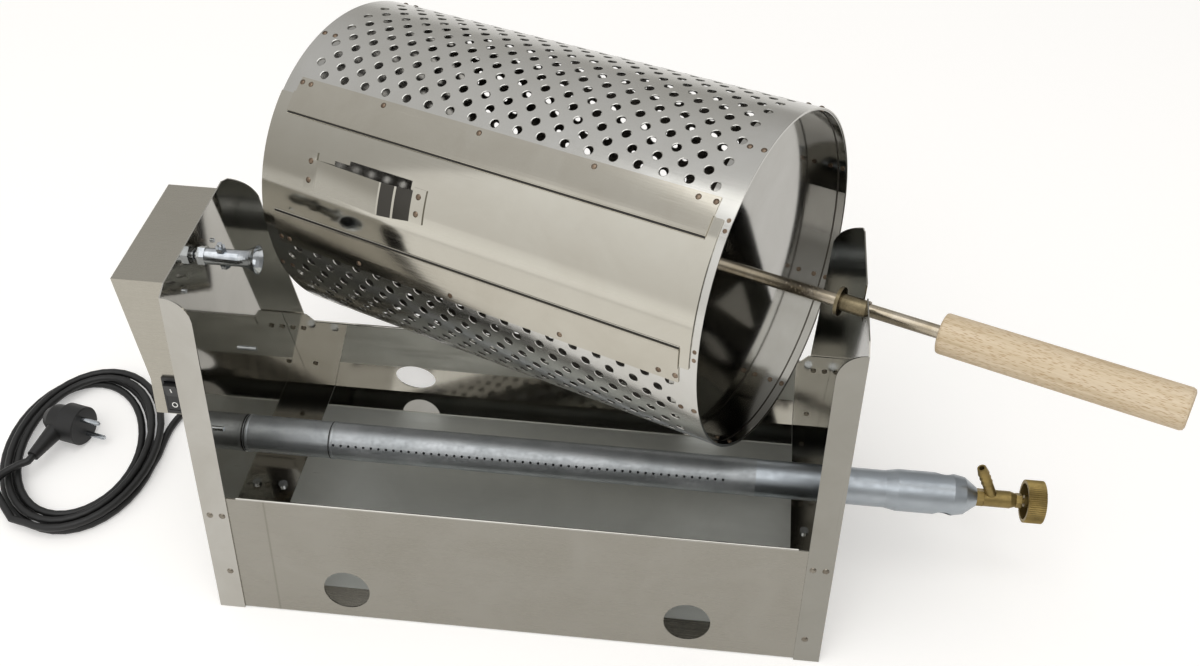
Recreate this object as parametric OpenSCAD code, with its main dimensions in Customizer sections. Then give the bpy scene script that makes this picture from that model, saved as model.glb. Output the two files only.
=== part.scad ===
// Chestnut roasting machine for the table: an open sheet metal frame, a ported gas burner low in it, a
// geared motor in a box on the left, and a drum on a through shaft that hangs in a notch of the right
// side panel. The drum is shown swung out to the back, with its slotted shaft tip free of the drive.
// Millimetres, +Z up, +X to the right along the frame, +Y to the back.
// The origin is the middle of the base plate's underside.

/* [Frame] */
// Length over the two side panels
frame_l = 500; // [420:10:600]
// Depth of the frame on the floor
base_depth = 264; // [240:2:318]
// Depth of the frame at the top
top_depth = 142; // [118:2:172]
// Height of the side panels
frame_h = 294; // [288:2:354]
// Thickness of the sheet metal
sheet = 1; // [0.8:0.1:1.2]
// Width of the upright flanges
flange_w = 21; // [17:1:26]
// Width of the flanges along the floor
foot_w = 25; // [20:1:30]
// Corner radius at the top of the upright flanges
ear_r = 20; // [8:1:20]
// Height of the front panel
front_h = 113; // [94:1:136]
// Height of the back panel
back_h = 108; // [90:1:110]
// Depth of the folded hems
hem = 12; // [8:1:16]
// Diameter of the vent holes
vent_d = 38; // [20:1:46]
// Distance of each vent from the middle
vent_x = 140; // [100:1:168]
// Height of the vents' centres
vent_z = 29; // [26:1:36]
// Diameter of the rivet shanks
rivet_d = 3.2; // [2.4:0.1:3.8]

/* [Notch and bush] */
// Distance of the drum's axis in front of the middle
axis_front = 8.5; // [0:0.5:14]
// Distance of the drum's axis below the top of the side panels
axis_drop = 17; // [14:0.5:22]
// Outside diameter of the bush
bush_d = 13; // [12:0.5:14]
// Length of the bush
bush_l = 21; // [17:1:26]
// Diameter of the bush's flange
bush_flange_d = 22; // [18:1:26]
// Width of the notch
notch_w = 16; // [15:0.5:19]

/* [Drum] */
// Outside diameter of the drum
drum_d = 262; // [218:1:264]
// Length of the drum
drum_l = 387; // [322:1:390]
// Distance of the drum's right rim from the notch
rim_gap = 69.4; // [58:0.2:84]
// Depth of the end discs behind the rims
disc_recess = 21; // [17:0.5:26]
// Diameter of the shaft
shaft_d = 10; // [8:0.5:11]
// Length of shaft beyond the left rim
stub = 8; // [6.5:0.5:10]
// Width of the slot in the shaft's tip
slot_w = 5; // [4.5:0.1:6]
// Depth of the slot in the shaft's tip
slot_depth = 7; // [6:0.5:9]
// Angle that the drum is swung out to the back
swing_out = 24; // [0:1:24]
// Angle that its left end hangs down
droop = 4; // [0:0.5:4]
// Thickness of the door and the rails
door_t = 1; // [0.8:0.1:1.2]
// Gap between the door and what it slides on
door_gap = 0.35; // [0.3:0.05:0.5]
// Angle of the door's lower edge above the drum's front
door_low = 6.7; // [5:0.1:9]
// Angle of the door's upper edge
door_high = 53.3; // [48:0.1:56]
// Width of the slit edge of each rail over the door
rail_lip = 15; // [12:0.5:18]
// Height of the door pull's ridge
pull_h = 10; // [8:0.5:11]

/* [Handle] */
// Diameter of the wooden grip
grip_d = 30; // [25:1:36]
// Length of the grip
grip_l = 171; // [142:1:206]
// Distance of the grip from the notch
grip_gap = 58; // [50:1:70]

/* [Drive] */
// Outside diameter of the drive socket
socket_d = 12.7; // [12.2:0.1:15.2]
// Diameter of the socket's bell mouth
bell_d = 23; // [19:0.5:27]
// Distance of the bell mouth from the left side panel
bell_x = 48.8; // [46:0.2:56]
// Diameter of the motor's output shaft
motor_shaft_d = 7; // [6:0.5:8]
// Diameter of the cross bolt
bolt_d = 4; // [3:0.5:4]
// Distance of the motor's centre below its output shaft
motor_drop = 10; // [8:0.5:12]
// Diameter of the gear motor
motor_d = 50; // [42:1:50]
// Width of the motor box at the top
box_w = 38; // [36:1:46]
// Height of the motor box
box_h = 112; // [104:1:134]
// Depth of the motor box in front of the middle, at the top
box_front = 61; // [56:1:66]
// Depth of the motor box behind the middle, at the top
box_back = 52; // [46:1:62]
// Width of the switch
switch_w = 14; // [12:0.5:15]
// Height of the switch
switch_h = 32; // [27:0.5:38]
// Angle that the rocker is tipped from its middle position
rocker_tip = 9; // [7:0.5:10]

/* [Burner] */
// Outside diameter of the burner tube
burner_d = 31.8; // [26.4:0.2:38]
// Height of the burner's axis
burner_z = 81; // [68:1:84]
// Distance of the burner's axis in front of the middle
burner_front = 9.5; // [0:0.5:14]
// Number of ports in each row
ports = 52; // [40:1:60]
// Diameter of the ports
port_d = 2.2; // [1.6:0.1:2.6]
// Angle of the ports above the horizontal
port_angle = 33; // [20:1:45]
// Outside diameter of the mixer
mixer_d = 35.2; // [33:0.2:42]
// Diameter of the air holes
air_d = 16; // [13:1:19]
// Diameter of the valve's body
valve_d = 14.5; // [12:0.5:17]
// Diameter of the knob
knob_d = 36; // [30:1:43]
// Thickness of the knob
knob_t = 15; // [13:1:18]

/* [Cord] */
// Diameter of the cord
cord_d = 6.7; // [6:0.1:7]

/* [Hidden] */
$fn = 64;

eps = 0.01;
rivet_clear = 0.05;
half_l = frame_l / 2;
slope = (base_depth - top_depth) / 2 / frame_h;
lean = atan(slope);
skin = sheet / cos(lean);
ear_top = frame_h - 5;
floor_gap = 0.2;
foot_reach = base_depth / 2 - 2 * skin - 2 * slope * sheet - floor_gap;
axis_y = -axis_front;
axis_z = frame_h - axis_drop;
burner_y = -burner_front;
function front_y(z) = -base_depth / 2 + slope * z;

drum_r = drum_d / 2;
rim_x = -rim_gap;
tip_x = rim_x - drum_l - stub;
shaft_r = shaft_d / 2;
shaft_clear = 0.05;
grip_bore = grip_l - 15;
shaft_end = grip_gap + grip_bore - 2;
notch_drop = 0.7;
seat_clear = 0.1;

// Colours
steel = [0.72, 0.72, 0.70];
mirror_steel = [0.55, 0.55, 0.55];
dark_plastic = [0.06, 0.06, 0.07];
brass = [0.66, 0.53, 0.27];
beech = [0.85, 0.70, 0.52];
zinc = [0.75, 0.77, 0.80];

// A profile drawn in (y, z), pushed out along x
module along_x(x0, x1) {
  translate([x0, 0, 0])
    rotate([90, 0, 90])
      linear_extrude(x1 - x0)
        children();
}

// A profile drawn in (x, z), pushed out along y
module along_y(y0, y1) {
  translate([0, y1, 0])
    rotate([90, 0, 0])
      linear_extrude(y1 - y0)
        children();
}

// A profile drawn in (radius, x), turned round the x axis
module round_x() {
  rotate([90, 0, 90])
    rotate_extrude()
      children();
}

module rod_x(x0, x1, r) {
  translate([x0, 0, 0])
    rotate([0, 90, 0])
      cylinder(h = x1 - x0, r = r);
}

module hex_x(x0, x1, flats) {
  translate([x0, 0, 0])
    rotate([0, 90, 0])
      cylinder(h = x1 - x0, d = flats / cos(30), $fn = 6);
}

// Outward normal of the leaning front, at width x and height z
module on_front(x, z) {
  translate([x, front_y(z), z])
    rotate([90 - lean, 0, 0])
      children();
}

module on_back(x, z) {
  mirror([0, 1, 0])
    on_front(x, z)
      children();
}

// A sheet in the leaning front plane, between two depths behind it
module leaning_sheet(x0, x1, z0, z1, d0, d1) {
  along_x(x0, x1)
    polygon([
      [front_y(z0) + d0, z0],
      [front_y(z0) + d1, z0],
      [front_y(z1) + d1, z1],
      [front_y(z1) + d0, z1]
    ]);
}

// A rivet from a domed head at z = 0 down through a grip length, with or without a head below
module rivet(grip, d = rivet_d, tail = true) {
  head = 0.85 * d;
  rotate_extrude()
    polygon(concat(
      [
        [0, 0.42 * d],
        [head * 0.45, 0.36 * d],
        [head * 0.8, 0.2 * d],
        [head, 0],
        [d / 2, 0],
        [d / 2, -grip]
      ],
      tail ? [[0.75 * d, -grip], [0.75 * d, -grip - 0.25 * d], [0, -grip - 0.25 * d]] : [[0, -grip]]
    ));
}

module rivet_hole(depth, d = rivet_d) {
  translate([0, 0, -depth])
    cylinder(h = depth + 2, d = d + 2 * rivet_clear);
}

// Frame

// Rivets of one corner: distance in from the end, and height
function corner_rivets(low_z) = [[16, 96], [6, 96], [14, low_z]];
left_rivets = corner_rivets(39);
right_rivets = corner_rivets(23.5);
post_rivets = concat(
  [for (p = left_rivets) [-half_l + p[0], p[1]]],
  [for (p = right_rivets) [half_l - p[0], p[1]]]
);

box_screw_at = [[27.4, frame_h - 147.4], [-58.6, frame_h - 154.4]];
motor_ear = 30;
screw_d = 4;
base_screw_y = [-66, 0, 66];

module side_web(rivets) {
  difference() {
    union() {
      along_x(half_l - sheet, half_l)
        polygon([
          [-base_depth / 2, 0],
          [base_depth / 2, 0],
          [-front_y(ear_top), ear_top],
          [-front_y(ear_top) - 11, frame_h],
          [front_y(ear_top) + 11, frame_h],
          [front_y(ear_top), ear_top]
        ]);
      leaning_sheet(half_l - flange_w, half_l, 0, ear_top, 0, skin);
      mirror([0, 1, 0])
        leaning_sheet(half_l - flange_w, half_l, 0, ear_top, 0, skin);
      translate([half_l - foot_w, -foot_reach, sheet])
        cube([foot_w, 2 * foot_reach, sheet]);
    }
    // rounded free corners of the upright flanges
    along_y(-base_depth, base_depth)
      difference() {
        translate([half_l - flange_w - 1, ear_top - ear_r])
          square([ear_r + 1, ear_r + 6]);
        translate([half_l - flange_w + ear_r, ear_top - ear_r])
          circle(r = ear_r);
        translate([half_l - sheet, 0])
          square([sheet + 1, frame_h + 9]);
      }
    for (p = rivets) {
      on_front(half_l - p[0], p[1])
        rivet_hole(2.5 * skin);
      on_back(half_l - p[0], p[1])
        rivet_hole(2.5 * skin);
    }
    for (y = base_screw_y)
      translate([half_l - 13, y, 0])
        cylinder(h = 9, d = screw_d + 2 * rivet_clear);
  }
}

module left_side_panel() {
  color(mirror_steel)
    difference() {
      mirror([1, 0, 0])
        side_web(left_rivets);
      translate([0, burner_y, burner_z])
        rod_x(-half_l - 1, -half_l + 2, burner_d / 2 + 0.3);
      translate([0, axis_y, axis_z])
        rod_x(-half_l - 1, -half_l + 2, motor_shaft_d / 2 + 2);
      for (s = [-1, 1])
        translate([0, axis_y + s * motor_ear, axis_z - motor_drop])
          rod_x(-half_l - 1, -half_l + 2, 1.8);
      for (p = box_screw_at)
        translate([0, p[0], p[1]])
          rod_x(-half_l - 1, -half_l + 2, screw_d / 2 + rivet_clear);
    }
}

module right_side_panel() {
  color(mirror_steel)
    difference() {
      side_web(right_rivets);
      translate([0, burner_y, burner_z])
        rod_x(half_l - 2, half_l + 1, neck_r + 0.3);
      translate([half_l - 2, axis_y - notch_w / 2, axis_z - bush_d / 2 - notch_drop])
        cube([3, notch_w, axis_drop + bush_d]);
    }
}

// Front or back panel: a hemmed sheet behind the flanges, with a flange along the floor
module leaning_panel(h, end_h) {
  side = half_l - sheet - floor_gap;
  step = half_l - flange_w - 2;
  difference() {
    union() {
      intersection() {
        leaning_sheet(-side, side, sheet, max(h, end_h), skin, 2 * skin);
        along_y(-base_depth, base_depth)
          polygon([
            [-side, 0],
            [side, 0],
            [side, end_h],
            [step, end_h],
            [step - 6, h],
            [-step + 6, h],
            [-step, end_h],
            [-side, end_h]
          ]);
      }
      leaning_sheet(-step + 6, step - 6, h - hem, h, 2 * skin - eps, 3 * skin);
      translate([-half_l + foot_w + 0.5, front_y(sheet) + 1.5 * skin, sheet])
        cube([frame_l - 2 * foot_w - 1, 26, sheet]);
    }
    for (s = [-1, 1])
      on_front(s * vent_x, vent_z)
        translate([0, 0, -6])
          cylinder(h = 12, d = vent_d);
    for (p = post_rivets)
      on_front(p[0], p[1])
        rivet_hole(3.5 * skin);
  }
}

module front_panel() {
  color(steel)
    leaning_panel(front_h, front_h);
}

module back_panel() {
  color(mirror_steel)
    mirror([0, 1, 0])
      leaning_panel(back_h, back_h + 9);
}

module base_plate() {
  color(steel)
    difference() {
      translate([-half_l + sheet + floor_gap, -base_depth / 2 + 2 * skin, 0])
        cube([frame_l - 2 * sheet - 2 * floor_gap, base_depth - 4 * skin, sheet]);
      for (s = [-1, 1])
        for (y = base_screw_y)
          translate([s * (half_l - 13), y, -1])
            cylinder(h = 9, d = screw_d + 2 * rivet_clear);
    }
}

module frame_rivets() {
  color(zinc)
    for (p = post_rivets) {
      on_front(p[0], p[1])
        rivet(2 * sheet);
      on_back(p[0], p[1])
        rivet(2 * sheet);
    }
}

module base_screws() {
  color(zinc)
    for (s = [-1, 1])
      for (y = base_screw_y)
        translate([s * (half_l - 13), y, 0]) {
          translate([0, 0, 0.2])
            cylinder(h = 2 * sheet, d = screw_d);
          translate([0, 0, 2 * sheet])
            cylinder(h = 2.2, d = 7.6);
        }
}

// Motor box, gear motor and switch

box_low = frame_h - box_h;
waist = box_low + 30;
box_foot = box_w - 13;
function box_y(z) = -box_front - slope * (frame_h - z);
function box_yb(z) = box_back + slope * (frame_h - z);

module box_solid(t, open_side) {
  intersection() {
    along_y(-base_depth, base_depth)
      polygon([
        [-half_l + open_side, box_low + t],
        [-half_l - box_foot + t, box_low + t],
        [-half_l - box_foot + 1 + t, waist],
        [-half_l - box_w + t, frame_h - t],
        [-half_l + open_side, frame_h - t]
      ]);
    along_x(-half_l - box_w - 1, -half_l + 9)
      polygon([
        [box_y(box_low) + t, box_low],
        [box_yb(box_low) - t, box_low],
        [box_yb(frame_h) - t, frame_h],
        [box_y(frame_h) + t, frame_h]
      ]);
  }
}

switch_x = -half_l - 1 - switch_w / 2;
switch_z = box_low + 17.5;
rocker_w = switch_w - 4;
rocker_h = switch_h - 8;
rocker_depth = 4;
switch_depth = 12;

module on_box_front(x, z) {
  translate([x, box_y(z), z])
    rotate([90 - lean, 0, 0])
      children();
}

gland_at = [-half_l - 12, 20];

module motor_box() {
  color(steel)
    difference() {
      union() {
        difference() {
          box_solid(0, 0);
          box_solid(sheet, 1);
        }
        // tab that lies on the side panel below the box
        translate([-half_l - sheet, -72, frame_h - 162])
          cube([sheet, 112, 51]);
      }
      on_box_front(switch_x, switch_z)
        cube([switch_w - 2 + 0.2, switch_h - 4 + 0.2, 12], center = true);
      translate([gland_at[0], gland_at[1], box_low - 1])
        cylinder(h = 4, r = 5.1);
      for (p = box_screw_at)
        translate([0, p[0], p[1]])
          rod_x(-half_l - 2, -half_l + 1, screw_d / 2 + rivet_clear);
    }
}

module box_screws() {
  color(zinc)
    for (p = box_screw_at)
      translate([0, p[0], p[1]]) {
        rod_x(-half_l - sheet - 2.4, -half_l - sheet, 3.6);
        rod_x(-half_l - sheet - eps, -half_l + 9, screw_d / 2);
      }
}

gear_t = 12;
can_t = 12.5;

module gearbox() {
  color(zinc)
    difference() {
      translate([0, axis_y, axis_z - motor_drop]) {
        rod_x(-half_l - gear_t, -half_l, motor_d / 2);
        intersection() {
          rod_x(-half_l - 1.5, -half_l, motor_ear + 4.5);
          translate([-half_l - 1.5, -motor_ear - 5, -5])
            cube([1.5, 2 * motor_ear + 10, 10]);
        }
      }
      translate([0, axis_y, axis_z])
        rod_x(-half_l - gear_t + 2, -half_l + 1, motor_shaft_d / 2 + 0.05);
      for (s = [-1, 1])
        translate([0, axis_y + s * motor_ear, axis_z - motor_drop])
          rod_x(-half_l - 3, -half_l + 1, 1.8);
    }
}

module motor_can() {
  color(zinc)
    translate([0, axis_y, axis_z - motor_drop])
      rod_x(-half_l - gear_t - can_t, -half_l - gear_t, motor_d / 2 - 0.5);
}

module motor_screws() {
  color(zinc)
    for (s = [-1, 1])
      translate([0, axis_y + s * motor_ear, axis_z - motor_drop]) {
        rod_x(-half_l - 4, -half_l - 1.5, 3);
        rod_x(-half_l - 1.5 - eps, -half_l + 2.5, 1.7);
      }
}

block_at = [20, box_low + 26];

module terminal_block() {
  color([0.9, 0.9, 0.86])
    difference() {
      translate([-half_l - 12, block_at[0] - 15, block_at[1] - 6])
        cube([12, 30, 12]);
      for (y = [-10, 0, 10])
        translate([-half_l - 6, block_at[0] + y, block_at[1] - 7])
          cylinder(h = 5, r = 1.6);
    }
}

// Two short leads inside the box: block to switch, and block to motor can
module motor_leads() {
  color([0.2, 0.3, 0.6]) {
    tube(smooth([
      [-half_l - 8, block_at[0] - 15.2, block_at[1]],
      [-half_l - 8, block_at[0] - 26, block_at[1]],
      [-half_l - 9, block_at[0] - 50, block_at[1] - 3],
      [-half_l - 9, box_y(switch_z) + 33, switch_z - 3.5],
      [-half_l - 9, box_y(switch_z) + 22.5, switch_z - 4.6],
      [-half_l - 9, box_y(switch_z) + 12.2, switch_z - 2.5]
    ], 5), 1.1, 8);
    tube(smooth([
      [-half_l - 7, block_at[0], block_at[1] + 6.2],
      [-half_l - 7, block_at[0], block_at[1] + 13],
      [-half_l - 14, block_at[0] - 14, block_at[1] + 17],
      [-half_l - 18, axis_y, axis_z - motor_drop - motor_d / 2 - 10],
      [-half_l - 18, axis_y, axis_z - motor_drop - motor_d / 2 + 0.1]
    ], 5), 1.1, 8);
  }
}

module switch_body() {
  color(dark_plastic)
    on_box_front(switch_x, switch_z)
      difference() {
        union() {
          translate([-switch_w / 2, -switch_h / 2, 0])
            cube([switch_w, switch_h, 2]);
          translate([-switch_w / 2 + 1, -switch_h / 2 + 2, -switch_depth])
            cube([switch_w - 2, switch_h - 4, switch_depth + eps]);
        }
        translate([-rocker_w / 2 - 0.3, -rocker_h / 2 - 1.2, -rocker_depth - 2])
          cube([rocker_w + 0.6, rocker_h + 2.4, 12]);
        rod_x(-rocker_w / 2 - 0.85, rocker_w / 2 + 0.85, 1.06);
      }
}

module switch_rocker() {
  color(dark_plastic)
    on_box_front(switch_x, switch_z)
      rotate([rocker_tip, 0, 0]) {
        along_x(-rocker_w / 2, rocker_w / 2)
          polygon([
            [-rocker_h / 2, -rocker_depth + 2],
            [0, -rocker_depth],
            [rocker_h / 2, -rocker_depth + 2],
            [rocker_h / 2, 2.2 + rocker_h / 2 * tan(rocker_tip)],
            [0, 2.2],
            [-rocker_h / 2, 2.2 + rocker_h / 2 * tan(rocker_tip)]
          ]);
        rod_x(-rocker_w / 2 - 0.7, rocker_w / 2 + 0.7, 1);
      }
}

// Bar on the upper half of the rocker, ring on the lower half
module switch_marks() {
  color("white")
    on_box_front(switch_x, switch_z)
      rotate([rocker_tip, 0, 0])
        translate([0, 0, 2.2]) {
          rotate([rocker_tip, 0, 0])
            translate([-0.45, 4.6, 0])
              cube([0.9, 4, 0.15]);
          rotate([-rocker_tip, 0, 0])
            translate([0, -7.6, 0])
              difference() {
                cylinder(h = 0.15, r = 2.3);
                translate([0, 0, -1])
                  cylinder(h = 3, r = 1.6);
              }
        }
}

// Drive

module drive_shaft() {
  color(zinc)
    translate([0, axis_y, axis_z])
      rod_x(-half_l - gear_t + 2.5, -half_l + 17, motor_shaft_d / 2);
}

module drive_nut() {
  color(zinc)
    translate([0, axis_y, axis_z])
      difference() {
        hex_x(-half_l + 4.3, -half_l + 9.8, 13);
        rod_x(-half_l, -half_l + 12, motor_shaft_d / 2 + 0.04);
      }
}

socket_start = -half_l + 10;
bolt_x = -half_l + 22.1;
bell_end = -half_l + bell_x;
bell_len = 13.7;
socket_bore = shaft_r + 0.25;

module drive_socket() {
  color(zinc)
    translate([0, axis_y, axis_z])
      difference() {
        round_x()
          polygon(concat(
            [
              [motor_shaft_d / 2 + 0.04, socket_start],
              [socket_d / 2, socket_start],
              [socket_d / 2, bell_end - bell_len]
            ],
            [for (i = [1:6])
              let (u = i / 6)
                [socket_d / 2 + (bell_d - socket_d) / 2 * pow(u, 2.2), bell_end - bell_len * (1 - u)]],
            [for (i = [6:-1:1])
              let (u = i / 6)
                [socket_bore + (bell_d / 2 - 0.9 - socket_bore) * pow(u, 2.2), bell_end - bell_len * (1 - u)]],
            [
              [socket_bore, bell_end - bell_len],
              [socket_bore, -half_l + 17.5],
              [motor_shaft_d / 2 + 0.04, -half_l + 17.5]
            ]
          ));
        translate([bolt_x, 0, -20])
          cylinder(h = 40, d = bolt_d + 2 * rivet_clear);
      }
}

module cross_bolt() {
  color(zinc)
    translate([bolt_x, axis_y, axis_z]) {
      translate([0, 0, -socket_d / 2 - 3])
        cylinder(h = socket_d + 9.4, d = bolt_d);
      translate([0, 0, -socket_d / 2 - 3])
        cylinder(h = 3, d = 7 / cos(30), $fn = 6);
      translate([0, 0, socket_d / 2])
        cylinder(h = 3.2, d = 7 / cos(30), $fn = 6);
    }
}

// Burner and gas valve

neck_r = burner_d / 2 - 0.2;
tube_wall = 1;
join_x = half_l - 63;
nose_x = half_l + 121;
port_first = -half_l + 79.7;
port_last = join_x - 27;

module burner_tube() {
  color(zinc)
    translate([0, burner_y, burner_z])
      difference() {
        rod_x(-half_l - 2.5, join_x, burner_d / 2);
        rod_x(-half_l - 3, join_x + 1, burner_d / 2 - tube_wall);
        for (i = [0:ports - 1])
          for (a = [port_angle, 180 - port_angle])
            translate([port_first + (port_last - port_first) * i / (ports - 1), 0, 0])
              rotate([90 - a, 0, 0])
                translate([0, 0, burner_d / 2 - 3])
                  cylinder(h = 5, d = port_d, $fn = 16);
      }
}

module burner_cap() {
  color(zinc)
    translate([0, burner_y, burner_z])
      difference() {
        rod_x(-half_l - 2.5, -half_l - 0.5, burner_d / 2 - tube_wall - 0.05);
        rod_x(-half_l - 4, -half_l + 1, 2.55);
      }
}

module burner_screw() {
  color(zinc)
    translate([0, burner_y, burner_z]) {
      rod_x(-half_l - 5.3, -half_l - 2.5, 4.4);
      rod_x(-half_l - 2.5 - eps, -half_l + 6, 2.5);
    }
}

module mixer_tube() {
  r = mixer_d / 2;
  nose = 8;
  color(zinc)
    translate([0, burner_y, burner_z])
      difference() {
        round_x()
          polygon([
            [burner_d / 2, join_x],
            [neck_r, join_x + 12],
            [neck_r, half_l + 45],
            [r, half_l + 55],
            [r, nose_x - 20],
            [r - 2, nose_x - 10],
            [nose, nose_x],
            [6, nose_x],
            [6, nose_x - 1],
            [r - 3.4, nose_x - 11],
            [r - tube_wall, nose_x - 20],
            [r - tube_wall, half_l + 55],
            [neck_r - tube_wall, half_l + 45],
            [neck_r - tube_wall, join_x + 12],
            [burner_d / 2 - tube_wall, join_x]
          ]);
        translate([nose_x - 27, 0, 0])
          rotate([90 + 38, 0, 0])
            cylinder(h = 90, d = air_d, center = true);
      }
}

jet_end = nose_x + 6;
valve_end = nose_x + 33;
knob_x = valve_end + 7;
nipple_lean = 25;
nipple_l = 40;

module gas_jet() {
  color(brass)
    translate([0, burner_y, burner_z])
      difference() {
        union() {
          rod_x(nose_x - 11, nose_x + eps, 5.9);
          hex_x(nose_x, jet_end, 13);
        }
        rod_x(nose_x - 12, jet_end + 1, 1);
      }
}

module valve_body() {
  color(brass)
    translate([0, burner_y, burner_z])
      difference() {
        union() {
          round_x()
            polygon([
              [0, jet_end],
              [valve_d / 2, jet_end],
              [valve_d / 2, valve_end - 5],
              [valve_d / 2 - 1.7, valve_end],
              [0, valve_end]
            ]);
          translate([jet_end + 8.5, 0, 0])
            rotate([0, -nipple_lean, 0])
              rotate_extrude()
                polygon([
                  [0, 0],
                  [4.4, 0],
                  [4.4, 19],
                  [3.6, 21],
                  [4.8, 22],
                  [3.6, 26.5],
                  [4.8, 27.5],
                  [3.6, 32],
                  [4.8, 33],
                  [3.7, nipple_l],
                  [0, nipple_l]
                ]);
        }
        translate([jet_end + 8.5, 0, 0])
          rotate([0, -nipple_lean, 0])
            cylinder(h = nipple_l + 1, r = 2.2);
        rod_x(jet_end - 1, jet_end + 10, 1);
        rod_x(jet_end + 6, valve_end + 1, 2.6);
      }
}

module packing_nut() {
  color(brass)
    translate([0, burner_y, burner_z])
      difference() {
        hex_x(valve_end, valve_end + 4.5, 11);
        rod_x(valve_end - 1, valve_end + 6, 2.56);
      }
}

// The needle slides as the spindle is screwed out, one millimetre a turn
module valve_needle() {
  color(brass)
    translate([0, burner_y, burner_z])
      round_x()
        polygon([
          [0, jet_end + 5.5],
          [0.7, jet_end + 5.5],
          [2.3, jet_end + 9],
          [2.3, jet_end + 12],
          [2.55, jet_end + 12.5],
          [2.55, jet_end + 15],
          [0, jet_end + 15]
        ]);
}

module valve_spindle() {
  color(brass)
    translate([0, burner_y, burner_z])
      rod_x(jet_end + 15.1, knob_x + knob_t - 2, 2.5);
}

module valve_knob() {
  teeth = 60;
  color(brass)
    translate([0, burner_y, burner_z])
      difference() {
        translate([knob_x, 0, 0])
          rotate([90, 0, 90])
            linear_extrude(knob_t)
              polygon([
                for (i = [0:2 * teeth - 1])
                  let (r = knob_d / 2 - (i % 2) * 0.7)
                    [r * cos(180 * i / teeth), r * sin(180 * i / teeth)]
              ]);
        difference() {
          rod_x(knob_x - 1, knob_x + knob_t - 4, knob_d / 2 - 3);
          rod_x(knob_x - 2, knob_x + knob_t, 5);
        }
        rod_x(knob_x - 1, knob_x + knob_t - 1.9, 2.53);
      }
}

// Drum

module drum_frame() {
  translate([half_l, axis_y, axis_z])
    rotate([0, -droop, -swing_out])
      children();
}

// Band between two radii, two distances left of the right rim and two angles above the front
module band(r0, r1, s0, s1, a0, a1) {
  rotate([0, 90, 0])
    rotate([0, 0, -90 - a1])
      rotate_extrude(angle = a1 - a0)
        translate([r0, rim_x - s1])
          square([r1 - r0, s1 - s0]);
}

// The same for a profile drawn in (radius, x)
module turned(a0, a1) {
  rotate([0, 90, 0])
    rotate([0, 0, -90 - a1])
      rotate_extrude(angle = a1 - a0)
        children();
}

// Outward normal of the drum, s left of the right rim and at an angle above the front
module radial(s, a) {
  translate([rim_x - s, 0, 0])
    rotate([90 - a, 0, 0])
      children();
}

rail_end = 13.6;
rail_foot = 5.6;
rail_seat = 0.02;
riser = 180 / PI * door_t / drum_r;
lip_angle = 180 / PI * rail_lip / drum_r;
play = 0.25;
upper_riser = door_high + play;
lower_riser = door_low - play;
rail_rivet_s = [16, 29.2, 110, 206.5, drum_l - 93.7, drum_l - 23.5, drum_l - 15.2];
rail_rivet_a = [upper_riser + riser + 3.8, lower_riser - riser - 3.2];
rail_rivet_d = 2.6;
rim_rivet_a = [79, 124, 169, 214, 259, 304, 349];
rim_rivet_s = [3.5, 14, drum_l - 14, drum_l - 3.5];
window_edge = 26;
window_low = door_low + 10.3;
window_high = door_high - 10.3;
ring_r = drum_r - sheet - seat_clear;

module drum_shell() {
  color(steel)
    drum_frame()
      difference() {
        rod_x(rim_x - drum_l, rim_x, drum_r);
        rod_x(rim_x - drum_l - 1, rim_x + 1, drum_r - sheet);
        band(drum_r - 9, drum_r + 9, window_edge, drum_l - window_edge, window_low, window_high);
        for (s = rail_rivet_s)
          for (a = rail_rivet_a)
            radial(s, a)
              translate([0, 0, drum_r - 5])
                cylinder(h = 9, d = rail_rivet_d + 2 * rivet_clear);
        for (s = rim_rivet_s)
          for (a = rim_rivet_a)
            radial(s, a)
              translate([0, 0, drum_r - 5])
                cylinder(h = 9, d = rail_rivet_d + 2 * rivet_clear);
      }
}

// End disc with a flange towards its rim, drawn for the right end
module end_disc() {
  difference() {
    round_x()
      polygon([
        [shaft_r + shaft_clear, -disc_recess - sheet],
        [ring_r, -disc_recess - sheet],
        [ring_r, -8],
        [ring_r - sheet, -8],
        [ring_r - sheet, -disc_recess],
        [shaft_r + shaft_clear, -disc_recess]
      ]);
    for (a = rim_rivet_a)
      translate([-rim_rivet_s[1], 0, 0])
        rotate([90 - a, 0, 0])
          translate([0, 0, drum_r - 6])
            cylinder(h = 9, d = rail_rivet_d + 2 * rivet_clear);
  }
}

module hoop() {
  difference() {
    round_x()
      translate([ring_r - sheet, -6.5])
        square([sheet, 6]);
    for (a = rim_rivet_a)
      translate([-rim_rivet_s[0], 0, 0])
        rotate([90 - a, 0, 0])
          translate([0, 0, drum_r - 6])
            cylinder(h = 9, d = rail_rivet_d + 2 * rivet_clear);
  }
}

module at_right_rim() {
  drum_frame()
    translate([rim_x, 0, 0])
      children();
}

module at_left_rim() {
  drum_frame()
    translate([rim_x - drum_l, 0, 0])
      mirror([1, 0, 0])
        children();
}

module disc_right() {
  color(mirror_steel)
    at_right_rim()
      end_disc();
}

module disc_left() {
  color(mirror_steel)
    at_left_rim()
      end_disc();
}

module hoop_right() {
  color(mirror_steel)
    at_right_rim()
      hoop();
}

module hoop_left() {
  color(mirror_steel)
    at_left_rim()
      hoop();
}

module drum_shaft() {
  color([0.62, 0.56, 0.48])
    drum_frame()
      difference() {
        rod_x(tip_x, shaft_end, shaft_r);
        translate([tip_x - 1, -slot_w / 2, -shaft_d])
          cube([slot_depth + 1, slot_w, 2 * shaft_d]);
      }
}

// Point and arc of the drum's section, by radius and angle above the front
function polar(r, a) = [-r * cos(a), r * sin(a)];
function arc(r, a0, a1, n) = [for (i = [0:n]) polar(r, a0 + (a1 - a0) * i / n)];

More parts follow.
